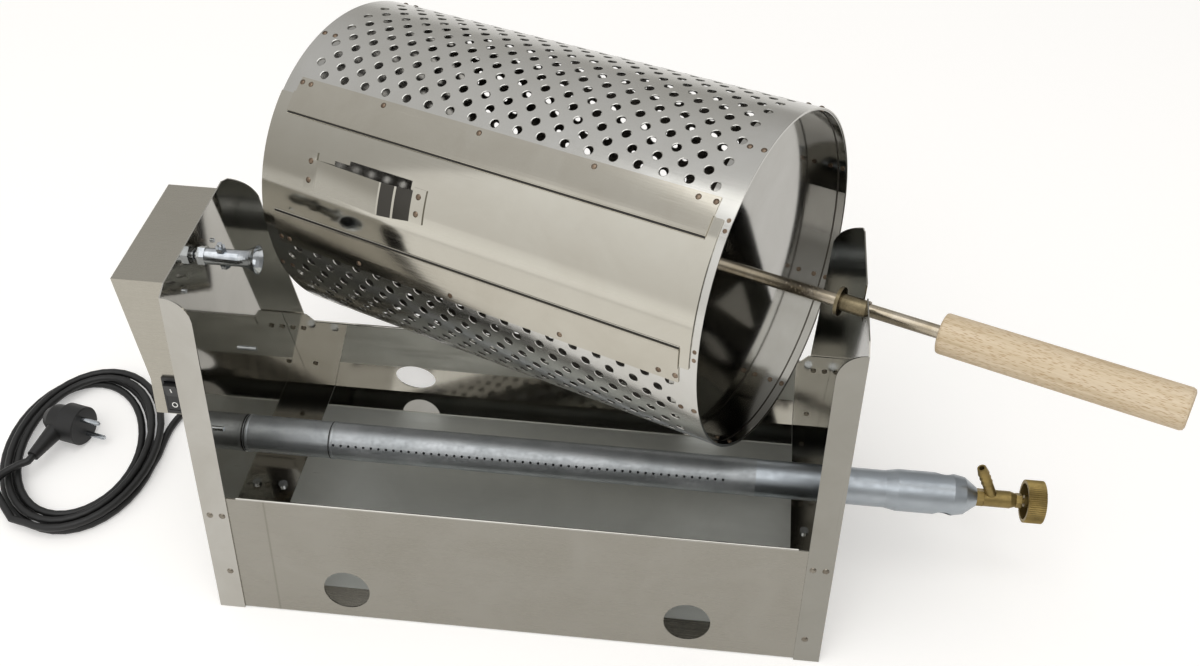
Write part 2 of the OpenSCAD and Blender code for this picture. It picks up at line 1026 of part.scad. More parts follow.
// Rail of stepped section: foot on the drum, riser at the door's edge, lip over the door
module rail(edge, way) {
  lip_in = drum_r + 2 * door_gap + door_t;
  outer = edge + way * riser;
  lip_edge = outer - way * lip_angle;
  foot_edge = outer + way * rail_foot;
  along_x(rim_x - drum_l + rail_end - 0.6, rim_x - rail_end)
    polygon(concat(
      arc(lip_in + door_t, lip_edge, outer, 6),
      arc(drum_r + door_t, outer, foot_edge, 6),
      arc(drum_r + rail_seat, foot_edge, edge, 6),
      arc(lip_in, edge, lip_edge, 6)
    ));
}

module rail_upper() {
  color(steel)
    drum_frame()
      difference() {
        rail(upper_riser, 1);
        for (s = rail_rivet_s)
          radial(s, rail_rivet_a[0])
            translate([0, 0, drum_r - 5])
              cylinder(h = 9, d = rail_rivet_d + 2 * rivet_clear);
      }
}

module rail_lower() {
  color(steel)
    drum_frame()
      difference() {
        rail(lower_riser, -1);
        for (s = rail_rivet_s)
          radial(s, rail_rivet_a[1])
            translate([0, 0, drum_r - 5])
              cylinder(h = 9, d = rail_rivet_d + 2 * rivet_clear);
      }
}

module rail_rivets() {
  color([0.6, 0.55, 0.5])
    drum_frame()
      for (s = rail_rivet_s)
        for (a = rail_rivet_a)
          radial(s, a)
            translate([0, 0, drum_r + door_t + 0.02])
              rivet(sheet + door_t + 0.06, rail_rivet_d, tail = false);
}

module rim_rivets() {
  color([0.6, 0.55, 0.5])
    drum_frame()
      for (s = rim_rivet_s)
        for (a = rim_rivet_a)
          radial(s, a)
            translate([0, 0, drum_r + 0.02])
              rivet(2 * sheet + seat_clear + 0.06, rail_rivet_d);
}

// Door

door_in = drum_r + door_gap;
door_out = door_in + door_t;
door_right = 6;
pull_near = 231.5;
pull_far = 344;
pull_low = 24.6;
pull_high = 34.4;
pull_t = 1;
pull_rivet_at = [[237.5, 27.5], [237.5, 33], [339.5, 27.3], [339.5, 33.6]];

module door_panel() {
  color(steel)
    drum_frame()
      difference() {
        band(door_in, door_out, door_right, drum_l - 0.5, door_low, door_high);
        // finger opening under the pull
        band(drum_r - 9, drum_r + 9, 246, 304, 27, 37.3);
        band(drum_r - 9, drum_r + 9, 303.9, 318, 28, 35.9);
        for (p = pull_rivet_at)
          radial(p[0], p[1])
            translate([0, 0, drum_r - 5])
              cylinder(h = 9, d = rail_rivet_d + 2 * rivet_clear);
      }
}

// A bridge of bent sheet: foot, long ramp, ridge, steep leg in two faces, foot
module door_pull() {
  r = door_out + 0.02;
  color(steel)
    drum_frame()
      difference() {
        turned(pull_low, pull_high + 2.4)
          polygon([
            [r, rim_x - pull_far],
            [r + pull_t, rim_x - pull_far],
            [r + pull_t, rim_x - 333],
            [r + pull_h + pull_t, rim_x - 266],
            [r + 6 + pull_t, rim_x - 254.5],
            [r + pull_t, rim_x - 243.2],
            [r + pull_t, rim_x - pull_near],
            [r, rim_x - pull_near],
            [r, rim_x - 244],
            [r + 6, rim_x - 255.5],
            [r + pull_h, rim_x - 266.6],
            [r, rim_x - 334]
          ]);
        // the bridge is narrower than its feet, and the near foot than the far one
        band(drum_r - 9, drum_r + 30, 243, 334.5, pull_high, pull_high + 9);
        band(drum_r - 9, drum_r + 30, pull_near - 9, 243.1, pull_high + 1.2, pull_high + 9);
        for (p = pull_rivet_at)
          radial(p[0], p[1])
            translate([0, 0, drum_r - 5])
              cylinder(h = 9, d = rail_rivet_d + 2 * rivet_clear);
      }
}

module pull_rivets() {
  color([0.45, 0.42, 0.38])
    drum_frame()
      for (p = pull_rivet_at)
        radial(p[0], p[1])
          translate([0, 0, door_out + pull_t + 0.05])
            rotate_extrude()
              polygon([
                [0, 1],
                [1.6, 0.7],
                [2.3, 0],
                [rail_rivet_d / 2, 0],
                [rail_rivet_d / 2, -2.1],
                [0, -2.1]
              ]);
}

// Bush and grip

module bush_sleeve() {
  color(mirror_steel)
    drum_frame()
      difference() {
        rod_x(3 - bush_l, 3, bush_d / 2);
        rod_x(2 - bush_l, 4, shaft_r + shaft_clear);
      }
}

module bush_flange() {
  color(mirror_steel)
    drum_frame()
      difference() {
        rod_x(-bush_l + 0.3, 3 - bush_l, bush_flange_d / 2);
        rod_x(-bush_l - 1, 4 - bush_l, shaft_r + shaft_clear);
      }
}

module handle_grip() {
  r = grip_d / 2;
  color(beech)
    drum_frame()
      round_x()
        polygon([
          [shaft_r + shaft_clear, grip_gap],
          [r - 2, grip_gap],
          [r - 0.6, grip_gap + 0.6],
          [r, grip_gap + 2],
          [r, grip_gap + grip_l - 3],
          [r - 0.9, grip_gap + grip_l - 0.9],
          [r - 3, grip_gap + grip_l],
          [0, grip_gap + grip_l],
          [0, grip_gap + grip_bore],
          [shaft_r + shaft_clear, grip_gap + grip_bore]
        ]);
}

// Cord, its loose coil and the plug

function unit(v) = v / norm(v);

// Smooth curve through the points, with n steps between each two
function smooth(p, n) = concat(
  [for (i = [0:len(p) - 2])
    for (k = [0:n - 1])
      let (
        a = p[max(i - 1, 0)],
        b = p[i],
        c = p[i + 1],
        d = p[min(i + 2, len(p) - 1)],
        u = k / n
      )
        0.5 * (2 * b + (c - a) * u + (2 * a - 5 * b + 4 * c - d) * u * u
          + (3 * b - a - 3 * c + d) * u * u * u)],
  [p[len(p) - 1]]
);

function tangent(p, i) = unit(p[min(i + 1, len(p) - 1)] - p[max(i - 1, 0)]);

// A side vector carried along the curve without twist
function sides(p) = [
  for (
    i = 0, s = unit(cross(tangent(p, 0), [0.3, 0.9, 0.2]));
    i < len(p);
    i = i + 1, s = i < len(p) ? unit(s - (s * tangent(p, i)) * tangent(p, i)) : s
  ) s
];

module tube(p, r, n) {
  s = sides(p);
  rings = len(p);
  points = [
    for (i = [0:rings - 1])
      let (t = tangent(p, i), b = cross(t, s[i]))
        for (k = [0:n - 1])
          p[i] + r * (cos(360 * k / n) * s[i] + sin(360 * k / n) * b)
  ];
  skin_faces = [
    for (i = [0:rings - 2])
      for (k = [0:n - 1])
        let (a = i * n + k, b = i * n + (k + 1) % n)
          for (f = [[a, a + n, b + n], [a, b + n, b]]) f
  ];
  start = [for (k = [1:n - 2]) [0, k, k + 1]];
  last = (rings - 1) * n;
  end = [for (k = [1:n - 2]) [last, last + k + 1, last + k]];
  polyhedron(points = points, faces = concat(skin_faces, start, end), convexity = 10);
}

function run(p) = len(p) < 2 ? 0 : [for (i = [1:len(p) - 1]) norm(p[i] - p[i - 1])] * [for (i = [1:len(p) - 1]) 1];

cord_r = cord_d / 2;
floor_z = 3.4;
coil_middle = [-435, 20];
coil_long = 99;
coil_short = 70;
coil_tilt = 107;
coil_start = 250;
coil_turns = 4.28;
coil_pitch = 8.2;
coil_rise = 7.3;
coil_shift = [5, 0];
coil_twist = -8;

function ease(u) = u <= 0 ? 0 : u >= 1 ? 1 : u * u * (3 - 2 * u);

// The coil winds in for half its turns, climbs, and winds out again on top
function coil_at(t) =
  let (
    up = ease((t - coil_turns / 2 + 0.25) / 0.5),
    draw = coil_pitch * min(t, coil_turns - t),
    tilt = coil_tilt + coil_twist * up,
    a = coil_start - 360 * t - coil_twist * up,
    x = (coil_long - draw) * cos(a),
    y = (coil_short - draw) * sin(a)
  )
    [
      coil_middle[0] + coil_shift[0] * up + x * cos(tilt) - y * sin(tilt),
      coil_middle[1] + coil_shift[1] * up + x * sin(tilt) + y * cos(tilt),
      floor_z + coil_rise * up
    ];

coil_steps = round(24 * coil_turns);
coil_mid = [for (i = [0:coil_steps]) coil_at(coil_turns * i / coil_steps)];
coil_in = unit(coil_mid[1] - coil_mid[0]);
coil_out = unit(coil_mid[coil_steps] - coil_mid[coil_steps - 1]);
coil_path = concat(
  [coil_mid[0] - cord_d * coil_in],
  coil_mid,
  [coil_mid[coil_steps] + cord_d * coil_out]
);

lead_points = [
  [-262, 20, 187],
  [-262, 20, 178],
  [-262, 21, 140],
  [-262, 24, 80],
  [-265, 38, 30],
  [-277, 62, 7],
  [-300, 90, floor_z],
  [-328, 106, floor_z],
  [-350, 92, floor_z],
  [-362, 58, floor_z]
];
lead_path = concat(
  smooth(concat(lead_points, [coil_path[0] - cord_d * coil_in]), 5),
  [coil_path[0]]
);

plug_tip = [-464, -6, 18.5];
plug_turn = -12;
tail_end = coil_path[coil_steps + 2];
tail_path = concat(
  [tail_end],
  smooth(concat(
    [tail_end + cord_d * coil_out],
    [
      [-480, -47, 16.5],
      [-483, -34, 18.5],
      [-474, -20, 18.5]
    ],
    [plug_tip - cord_d * [cos(90 + plug_turn), sin(90 + plug_turn), 0]]
  ), 5),
  [plug_tip]
);

function seg_gap(p, a, b) =
  let (d = b - a, u = max(0, min(1, (p - a) * d / (d * d))))
    norm(p - a - u * d);

echo(coil_gap = min([
  for (i = [0:len(coil_path) - 1])
    for (j = [i + 8:1:len(coil_path) - 2])
      seg_gap(coil_path[i], coil_path[j], coil_path[j + 1])
]) - cord_d);
echo(tail_gap = min([
  for (i = [4:len(tail_path) - 1])
    for (j = [0:len(coil_path) - 2])
      seg_gap(tail_path[i], coil_path[j], coil_path[j + 1])
]) - cord_d);
echo(cord_length = run(lead_path) + run(coil_path) + run(tail_path));

module cord() {
  color(dark_plastic)
    tube(lead_path, cord_r, 8);
}

module cord_coil() {
  color(dark_plastic)
    tube(coil_path, cord_r, 6);
}

module cord_tail() {
  color(dark_plastic)
    tube(tail_path, cord_r, 8);
}

module cord_gland() {
  color(dark_plastic)
    translate([gland_at[0], gland_at[1], box_low])
      difference() {
        union() {
          translate([0, 0, -3])
            cylinder(h = 3, r = 7.5);
          translate([0, 0, -eps])
            cylinder(h = 7, r = 5);
        }
        translate([0, 0, -4])
          cylinder(h = 9.2, r = cord_r + 0.1);
      }
}

// Placed by the tip of its boot
module plug_frame() {
  translate(plug_tip)
    rotate([0, 0, plug_turn])
      children();
}

module plug_body() {
  color(dark_plastic)
    plug_frame()
      union() {
        translate([0, 46, 0])
          round_x()
            polygon([
              [0, -16],
              [9, -16],
              [14, -9],
              [15.5, 2],
              [18.4, 4],
              [18.4, 21],
              [17.6, 22],
              [0, 22]
            ]);
        translate([0, 0, 0])
          rotate([-90, 0, 0])
            cylinder(h = 34, r1 = 5.2, r2 = 8.5);
      }
}

module plug_pins() {
  color(zinc)
    plug_frame()
      for (s = [-1, 1])
        translate([22, 46, 9.5 * s])
          round_x()
            polygon([
              [0, 0],
              [2.4, 0],
              [2.4, 17.5],
              [1.4, 19],
              [0, 19]
            ]);
}

left_side_panel();
right_side_panel();
front_panel();
back_panel();
base_plate();
frame_rivets();
base_screws();
motor_box();
box_screws();
gearbox();
motor_can();
motor_screws();
terminal_block();
motor_leads();
switch_body();
cord_gland();
cord();
cord_coil();
cord_tail();
plug_body();
plug_pins();
burner_tube();
burner_cap();
burner_screw();
mixer_tube();
gas_jet();
valve_body();
packing_nut();
valve_needle();
valve_spindle();
valve_knob();
switch_rocker();
switch_marks();
drive_shaft();
drive_nut();
drive_socket();
cross_bolt();
bush_sleeve();
bush_flange();
handle_grip();
drum_shell();
disc_left();
disc_right();
hoop_left();
hoop_right();
drum_shaft();
rail_upper();
rail_lower();
rail_rivets();
rim_rivets();
door_panel();
door_pull();
pull_rivets();
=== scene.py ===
# Looks of a chestnut roasting machine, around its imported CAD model. Blender works in metres; sizes that are
# written as plain numbers of millimetres are turned to metres by mm.
import math

import bmesh
import bpy
import numpy as np
from mathutils import Matrix, Vector


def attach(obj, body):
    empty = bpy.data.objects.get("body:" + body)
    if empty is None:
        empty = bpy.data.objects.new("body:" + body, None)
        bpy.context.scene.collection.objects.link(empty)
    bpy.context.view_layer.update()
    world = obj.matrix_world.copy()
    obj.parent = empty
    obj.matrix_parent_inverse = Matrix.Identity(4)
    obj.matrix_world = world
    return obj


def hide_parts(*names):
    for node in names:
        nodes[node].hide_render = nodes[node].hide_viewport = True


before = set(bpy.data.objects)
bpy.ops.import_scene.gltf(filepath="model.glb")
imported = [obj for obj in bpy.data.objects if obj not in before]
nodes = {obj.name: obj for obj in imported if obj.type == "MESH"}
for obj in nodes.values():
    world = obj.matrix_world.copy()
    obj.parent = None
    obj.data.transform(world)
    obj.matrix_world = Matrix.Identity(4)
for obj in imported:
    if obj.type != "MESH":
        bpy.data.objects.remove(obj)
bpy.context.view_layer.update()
mm = 0.001
scene = bpy.context.scene
print("frame loaded:", len(nodes), "CAD nodes")


def linearColour(hexText):
    # An sRGB hex value as linear red, green, blue and alpha.
    parts = [int(hexText[i:i + 2], 16) / 255 for i in (1, 3, 5)]
    return tuple(c / 12.92 if c <= 0.04045 else ((c + 0.055) / 1.055) ** 2.4 for c in parts) + (1.0,)


def addNode(tree, kind, settings=None, **inputs):
    # Adds a node. Its inputs are given by name, or as i0, i1 ... by number where names repeat, as in a Mix node,
    # whose two colours are i6 and i7. A socket is linked and a value is set.
    node = tree.nodes.new(kind)
    for key, value in (settings or {}).items():
        setattr(node, key, value)
    for key, value in inputs.items():
        number = key[1:] if key[0] == "i" and key[1:].isdigit() else None
        socket = node.inputs[int(number)] if number else node.inputs[key.replace("_", " ")]
        if isinstance(value, bpy.types.NodeSocket):
            tree.links.new(value, socket)
        else:
            socket.default_value = value
    return node


def newMaterial(name):
    # An empty material with a Principled shader; returns the material, its tree and the shader.
    material = bpy.data.materials.new(name)
    material.use_nodes = True
    tree = material.node_tree
    tree.nodes.clear()
    shader = addNode(tree, "ShaderNodeBsdfPrincipled")
    out = addNode(tree, "ShaderNodeOutputMaterial")
    tree.links.new(shader.outputs[0], out.inputs["Surface"])
    return material, tree, shader


def setRamp(node, stops):
    # Colours at their places along a ramp.
    ramp = node.color_ramp
    while len(ramp.elements) < len(stops):
        ramp.elements.new(0.5)
    for element, (place, colour) in zip(ramp.elements, stops):
        element.position = place
        element.color = linearColour(colour)


def meshPiece(name, points, faces, material, smooth=True, body=None):
    # A mesh from arrays: points in metres and faces as lists of indices.
    mesh = bpy.data.meshes.new(name)
    mesh.from_pydata(np.asarray(points, float).tolist(), [], [list(map(int, f)) for f in faces])
    mesh.polygons.foreach_set("use_smooth", np.full(len(mesh.polygons), smooth))
    mesh.materials.append(material)
    mesh.update()
    piece = bpy.data.objects.new(name, mesh)
    scene.collection.objects.link(piece)
    if body:
        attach(piece, body)
    return piece


def gridFaces(rows, columns, closeRows=False, closeColumns=False, start=0):
    # Quads of a grid of points numbered row by row.
    i = np.arange(rows if closeRows else rows - 1)[:, None]
    j = np.arange(columns if closeColumns else columns - 1)[None, :]
    a = i * columns + j
    b = i * columns + (j + 1) % columns
    c = (i + 1) % rows * columns + (j + 1) % columns
    d = (i + 1) % rows * columns + j
    return (np.stack([a, b, c, d], -1).reshape(-1, 4) + start).tolist()


def tubeFaces(rows, around, start=0):
    # Rows of points round a tube, joined to the next row, with a cap on the first row and on the last.
    last = start + (rows - 1) * around
    return gridFaces(rows, around, closeColumns=True, start=start) + [
        list(range(start, start + around)), list(range(last + around - 1, last - 1, -1))]


def wallFaces(near, far):
    # Quads between two equally long lines of point numbers.
    return np.stack([near[:-1], near[1:], far[1:], far[:-1]], -1).tolist()


def finishPiece(piece, sharpDegrees):
    # Doubled points merged, normals outwards, and edges sharper than the angle left crisp.
    mesh = piece.data
    work = bmesh.new()
    work.from_mesh(mesh)
    bmesh.ops.remove_doubles(work, verts=work.verts, dist=1e-7)
    bmesh.ops.recalc_face_normals(work, faces=work.faces)
    for edge in work.edges:
        edge.smooth = edge.calc_face_angle(0) < math.radians(sharpDegrees)
    work.to_mesh(mesh)
    work.free()
    mesh.update()
    return piece


viewpoint = dict(
    place=(142.625, -692.284, 872.019),  # mm
    yaw=-4.112, pitch=45.393, roll=1.927,  # degrees, pitch below the horizon
    picture=(1200, 666),  # the photograph's width and height in pixels
    focal=1232.247, centre=(647.662, 387.202),  # in those pixels
    sensor=36.0, near=0.05, far=50,
)


def makeCamera(v):
    # Looks along forward, with right and up turned by the roll from the level line and the one square to it.
    yaw, pitch, roll = (math.radians(v[k]) for k in ("yaw", "pitch", "roll"))
    forward = Vector((math.sin(yaw) * math.cos(pitch), math.cos(yaw) * math.cos(pitch), -math.sin(pitch)))
    level = Vector((math.cos(yaw), -math.sin(yaw), 0))
    rise = level.cross(forward)
    right = math.cos(roll) * level + math.sin(roll) * rise
    up = math.cos(roll) * rise - math.sin(roll) * level
    data = bpy.data.cameras.new("photo_camera")
    data.sensor_fit, data.sensor_width = "HORIZONTAL", v["sensor"]
    wide, high = v["picture"]
    data.lens = v["focal"] * v["sensor"] / wide
    data.shift_x = (wide / 2 - v["centre"][0]) / wide
    data.shift_y = (v["centre"][1] - high / 2) / wide
    data.clip_start, data.clip_end = v["near"], v["far"]
    camera = bpy.data.objects.new("photo_camera", data)
    turn = Matrix((right, up, -forward)).transposed().to_4x4()
    camera.matrix_world = Matrix.Translation(Vector(v["place"]) * mm) @ turn
    scene.collection.objects.link(camera)
    scene.camera = camera


makeCamera(viewpoint)
print("camera made")


# The plastics' shared values: index of refraction, and how far roughness falls and rises from a part's own.
plasticSurface = dict(ior=1.53, smoother=0.06, rougher=0.08, relief=0.5)
cordSurface = dict(colour="#0a0a0a", scuff=4.55, roughness=(0.42, 0.58), relief=0.2, depth=0.06)  # lengths in mm


def cordJacket(v):
    # Flexible PVC, extruded: black, evenly dull, with a soft broad highlight and faint scuffs.
    material, tree, shader = newMaterial("black_pvc_extruded")
    shader.inputs["Base Color"].default_value = linearColour(v["colour"])
    shader.inputs["IOR"].default_value = plasticSurface["ior"]
    place = addNode(tree, "ShaderNodeTexCoord")
    scuff = addNode(tree, "ShaderNodeTexNoise", Vector=place.outputs["Object"], Scale=1 / (v["scuff"] * mm),
                    Detail=3.0)
    level = addNode(tree, "ShaderNodeMapRange", Value=scuff.outputs["Fac"],
                    To_Min=v["roughness"][0], To_Max=v["roughness"][1])
    tree.links.new(level.outputs[0], shader.inputs["Roughness"])
    bump = addNode(tree, "ShaderNodeBump", Height=scuff.outputs["Fac"], Strength=v["relief"],
                   Distance=v["depth"] * mm)
    tree.links.new(bump.outputs[0], shader.inputs["Normal"])
    return material


def mouldedPlastic(name, colour, roughness, grit=0.7, depth=0.03):
    # Injection-moulded plastic: a fine spark-eroded texture breaks up its highlight. grit and depth in mm.
    v = plasticSurface
    material, tree, shader = newMaterial(name)
    shader.inputs["Base Color"].default_value = linearColour(colour)
    shader.inputs["IOR"].default_value = v["ior"]
    place = addNode(tree, "ShaderNodeTexCoord")
    grain = addNode(tree, "ShaderNodeTexNoise", Vector=place.outputs["Object"], Scale=1 / (grit * mm), Detail=2.0)
    level = addNode(tree, "ShaderNodeMapRange", Value=grain.outputs["Fac"],
                    To_Min=roughness - v["smoother"], To_Max=roughness + v["rougher"])
    tree.links.new(level.outputs[0], shader.inputs["Roughness"])
    bump = addNode(tree, "ShaderNodeBump", Height=grain.outputs["Fac"], Strength=v["relief"], Distance=depth * mm)
    tree.links.new(bump.outputs[0], shader.inputs["Normal"])
    return material


# What every sheet shares. Lengths in mm; the roughness pairs are times the sheet's own.
sheetSurface = dict(
    filmPatch=58.8, filmShare=0.55,  # patches of handling and heat, and how much of the stain the thickest shows
    grainRough=(0.75, 1.3), filmRough=(0.92, 1.175),
    foldEdge=0.3, foldClear=1.1, foldShare=0.45, foldColour="#6f6b60",  # a painted shade line along a fold, by the way from it
)


def sheetSteel(name, colour, stain, roughness, grain, wave, turn=(0, 0, 0), fold=None, metallic=1.0):
    # Stainless sheet: a reflection drawn out by rolling lines and bent by hand-worked unevenness. In mm, grain is
    # the lines' length, width and depth, and wave is the unevenness's length and depth. stain is the colour of the
    # faint film. turn lays the lines along a piece.
    v = sheetSurface
    material, tree, shader = newMaterial(name)
    shader.inputs["Metallic"].default_value = metallic
    place = addNode(tree, "ShaderNodeTexCoord")
    along, across, deep = grain
    turned = addNode(tree, "ShaderNodeMapping", Vector=place.outputs["Object"], Rotation=turn)
    stretched = addNode(tree, "ShaderNodeMapping", Vector=turned.outputs[0],
                        Scale=(1 / (along * mm), 1 / (across * mm), 1 / (across * mm)))
    lines = addNode(tree, "ShaderNodeTexNoise", Vector=stretched.outputs[0], Scale=1.0, Detail=3.0, Roughness=0.6)
    film = addNode(tree, "ShaderNodeTexNoise", Vector=turned.outputs[0], Scale=1 / (v["filmPatch"] * mm),
                   Detail=5.0, Roughness=0.62, Distortion=0.6)
    wide = addNode(tree, "ShaderNodeTexNoise", Vector=turned.outputs[0], Scale=1 / (wave[0] * mm), Detail=1.0)
    # colour: the bare metal, with the film in patches
    patch = addNode(tree, "ShaderNodeMapRange", Value=film.outputs["Fac"], From_Min=0.3, From_Max=0.8,
                    To_Max=v["filmShare"])
    tint = addNode(tree, "ShaderNodeMix", {"data_type": "RGBA"}, i0=patch.outputs[0],
                   i6=linearColour(colour), i7=linearColour(stain))
    tone = tint.outputs[2]
    if fold is not None:  # a faint painted shade line along a fold, at this x in mm
        apart = addNode(tree, "ShaderNodeSeparateXYZ", Vector=place.outputs["Object"])
        off = addNode(tree, "ShaderNodeMath", {"operation": "SUBTRACT"}, i0=apart.outputs["X"], i1=fold * mm)
        away = addNode(tree, "ShaderNodeMath", {"operation": "ABSOLUTE"}, i0=off.outputs[0])
        line = addNode(tree, "ShaderNodeMapRange", Value=away.outputs[0], From_Min=v["foldEdge"] * mm,
                       From_Max=v["foldClear"] * mm, To_Min=v["foldShare"], To_Max=0.0)
        pressed = addNode(tree, "ShaderNodeMix", {"data_type": "RGBA"}, i0=line.outputs[0], i6=tone,
                          i7=linearColour(v["foldColour"]))
        tone = pressed.outputs[2]
    tree.links.new(tone, shader.inputs["Base Color"])
    # roughness: rolling lines and wiped patches
    fine = addNode(tree, "ShaderNodeMapRange", Value=lines.outputs["Fac"], From_Min=0.3, From_Max=0.7,
                   To_Min=roughness * v["grainRough"][0], To_Max=roughness * v["grainRough"][1])
    wiped = addNode(tree, "ShaderNodeMapRange", Value=film.outputs["Fac"], From_Min=0.3, From_Max=0.8,
                    To_Min=v["filmRough"][0], To_Max=v["filmRough"][1])
    rough = addNode(tree, "ShaderNodeMath", {"operation": "MULTIPLY"}, i0=fine.outputs[0], i1=wiped.outputs[0])
    tree.links.new(rough.outputs[0], shader.inputs["Roughness"])
    # relief: rolling lines over broad unevenness
    worked = addNode(tree, "ShaderNodeBump", Height=wide.outputs["Fac"], Strength=1.0, Distance=wave[1] * mm)
    ridges = addNode(tree, "ShaderNodeBump", Height=lines.outputs["Fac"], Strength=1.0, Distance=deep * mm,
                     Normal=worked.outputs[0])
    tree.links.new(ridges.outputs[0], shader.inputs["Normal"])
    return material


# What every coated or turned part shares: its dull patches in crystal widths, and roughness times the part's own.
coatSurface = dict(patchWidths=9, roughSpread=(0.8, 1.25))


def platedSteel(name, colour, dull, roughness, spangle, depth, metallic=1.0):
    # Coated, plated or turned metal: its colour drifts between two tones, and crystals of one size, the spangle,
    # break up its highlight. spangle and depth in mm.
    v = coatSurface
    material, tree, shader = newMaterial(name)
    shader.inputs["Metallic"].default_value = metallic
    place = addNode(tree, "ShaderNodeTexCoord")
    crystals = addNode(tree, "ShaderNodeTexNoise", Vector=place.outputs["Object"], Scale=1 / (spangle * mm),
                       Detail=3.0)
    film = addNode(tree, "ShaderNodeTexNoise", Vector=place.outputs["Object"],
                   Scale=1 / (spangle * v["patchWidths"] * mm), Detail=4.0)
    blend = addNode(tree, "ShaderNodeMapRange", Value=film.outputs["Fac"], From_Min=0.35, From_Max=0.72)
    tint = addNode(tree, "ShaderNodeMix", {"data_type": "RGBA"}, i0=blend.outputs[0],
                   i6=linearColour(colour), i7=linearColour(dull))
    tree.links.new(tint.outputs[2], shader.inputs["Base Color"])
    rough = addNode(tree, "ShaderNodeMapRange", Value=crystals.outputs["Fac"], From_Min=0.3, From_Max=0.7,
                    To_Min=roughness * v["roughSpread"][0], To_Max=roughness * v["roughSpread"][1])
    tree.links.new(rough.outputs[0], shader.inputs["Roughness"])
    ridges = addNode(tree, "ShaderNodeBump", Height=crystals.outputs["Fac"], Strength=1.0, Distance=depth * mm)
    tree.links.new(ridges.outputs[0], shader.inputs["Normal"])
    return material


swing, droop = math.radians(24), math.radians(4)  # how far the drum is turned back and tipped
alongDrum = (0, droop, swing)  # turns a pattern's first axis onto the drum's

# Lengths in mm.
beechSurface = dict(
    fleck=(4.5, 0.55), crowding=0.75, fleckCore=0.13, fleckEdge=0.42, fleckColour="#aa8b64",  # ray flecks
    band=(95, 3.2), bandTones=[(0.3, "#d9c8ae"), (0.55, "#cebb9d"), (0.75, "#bfab8b")],  # year rings, cut along
    roughness=0.62, ior=1.5, relief=0.5, depth=0.1,
)


def beechWood(v):
    # Turned, unvarnished beech: pale straw, with short darker ray flecks along the grain and long soft bands.
    material, tree, shader = newMaterial("raw_beech_turned")
    place = addNode(tree, "ShaderNodeTexCoord")
    turned = addNode(tree, "ShaderNodeMapping", Vector=place.outputs["Object"], Rotation=alongDrum)
    fleckScale, bandScale = ((1 / (length * mm), 1 / (width * mm), 1 / (width * mm))
                             for length, width in (v["fleck"], v["band"]))
    small = addNode(tree, "ShaderNodeMapping", Vector=turned.outputs[0], Scale=fleckScale)
    flecks = addNode(tree, "ShaderNodeTexVoronoi", {"feature": "F1"}, Vector=small.outputs[0], Scale=v["crowding"],
                     Randomness=1.0)
    spots = addNode(tree, "ShaderNodeMapRange", Value=flecks.outputs["Distance"], From_Min=v["fleckCore"],
                    From_Max=v["fleckEdge"])
    long = addNode(tree, "ShaderNodeMapping", Vector=turned.outputs[0], Scale=bandScale)
    bands = addNode(tree, "ShaderNodeTexNoise", Vector=long.outputs[0], Scale=1.0, Detail=4.0, Distortion=0.5)
    ground = addNode(tree, "ShaderNodeValToRGB", Fac=bands.outputs["Fac"])
    setRamp(ground, v["bandTones"])
    fleckTone = addNode(tree, "ShaderNodeMix", {"data_type": "RGBA"}, i0=spots.outputs[0],
                        i6=linearColour(v["fleckColour"]), i7=ground.outputs[0])
    tree.links.new(fleckTone.outputs[2], shader.inputs["Base Color"])
    shader.inputs["Roughness"].default_value = v["roughness"]
    shader.inputs["IOR"].default_value = v["ior"]
    ridges = addNode(tree, "ShaderNodeBump", Height=bands.outputs["Fac"], Strength=v["relief"],
                     Distance=v["depth"] * mm)
    tree.links.new(ridges.outputs[0], shader.inputs["Normal"])
    return material


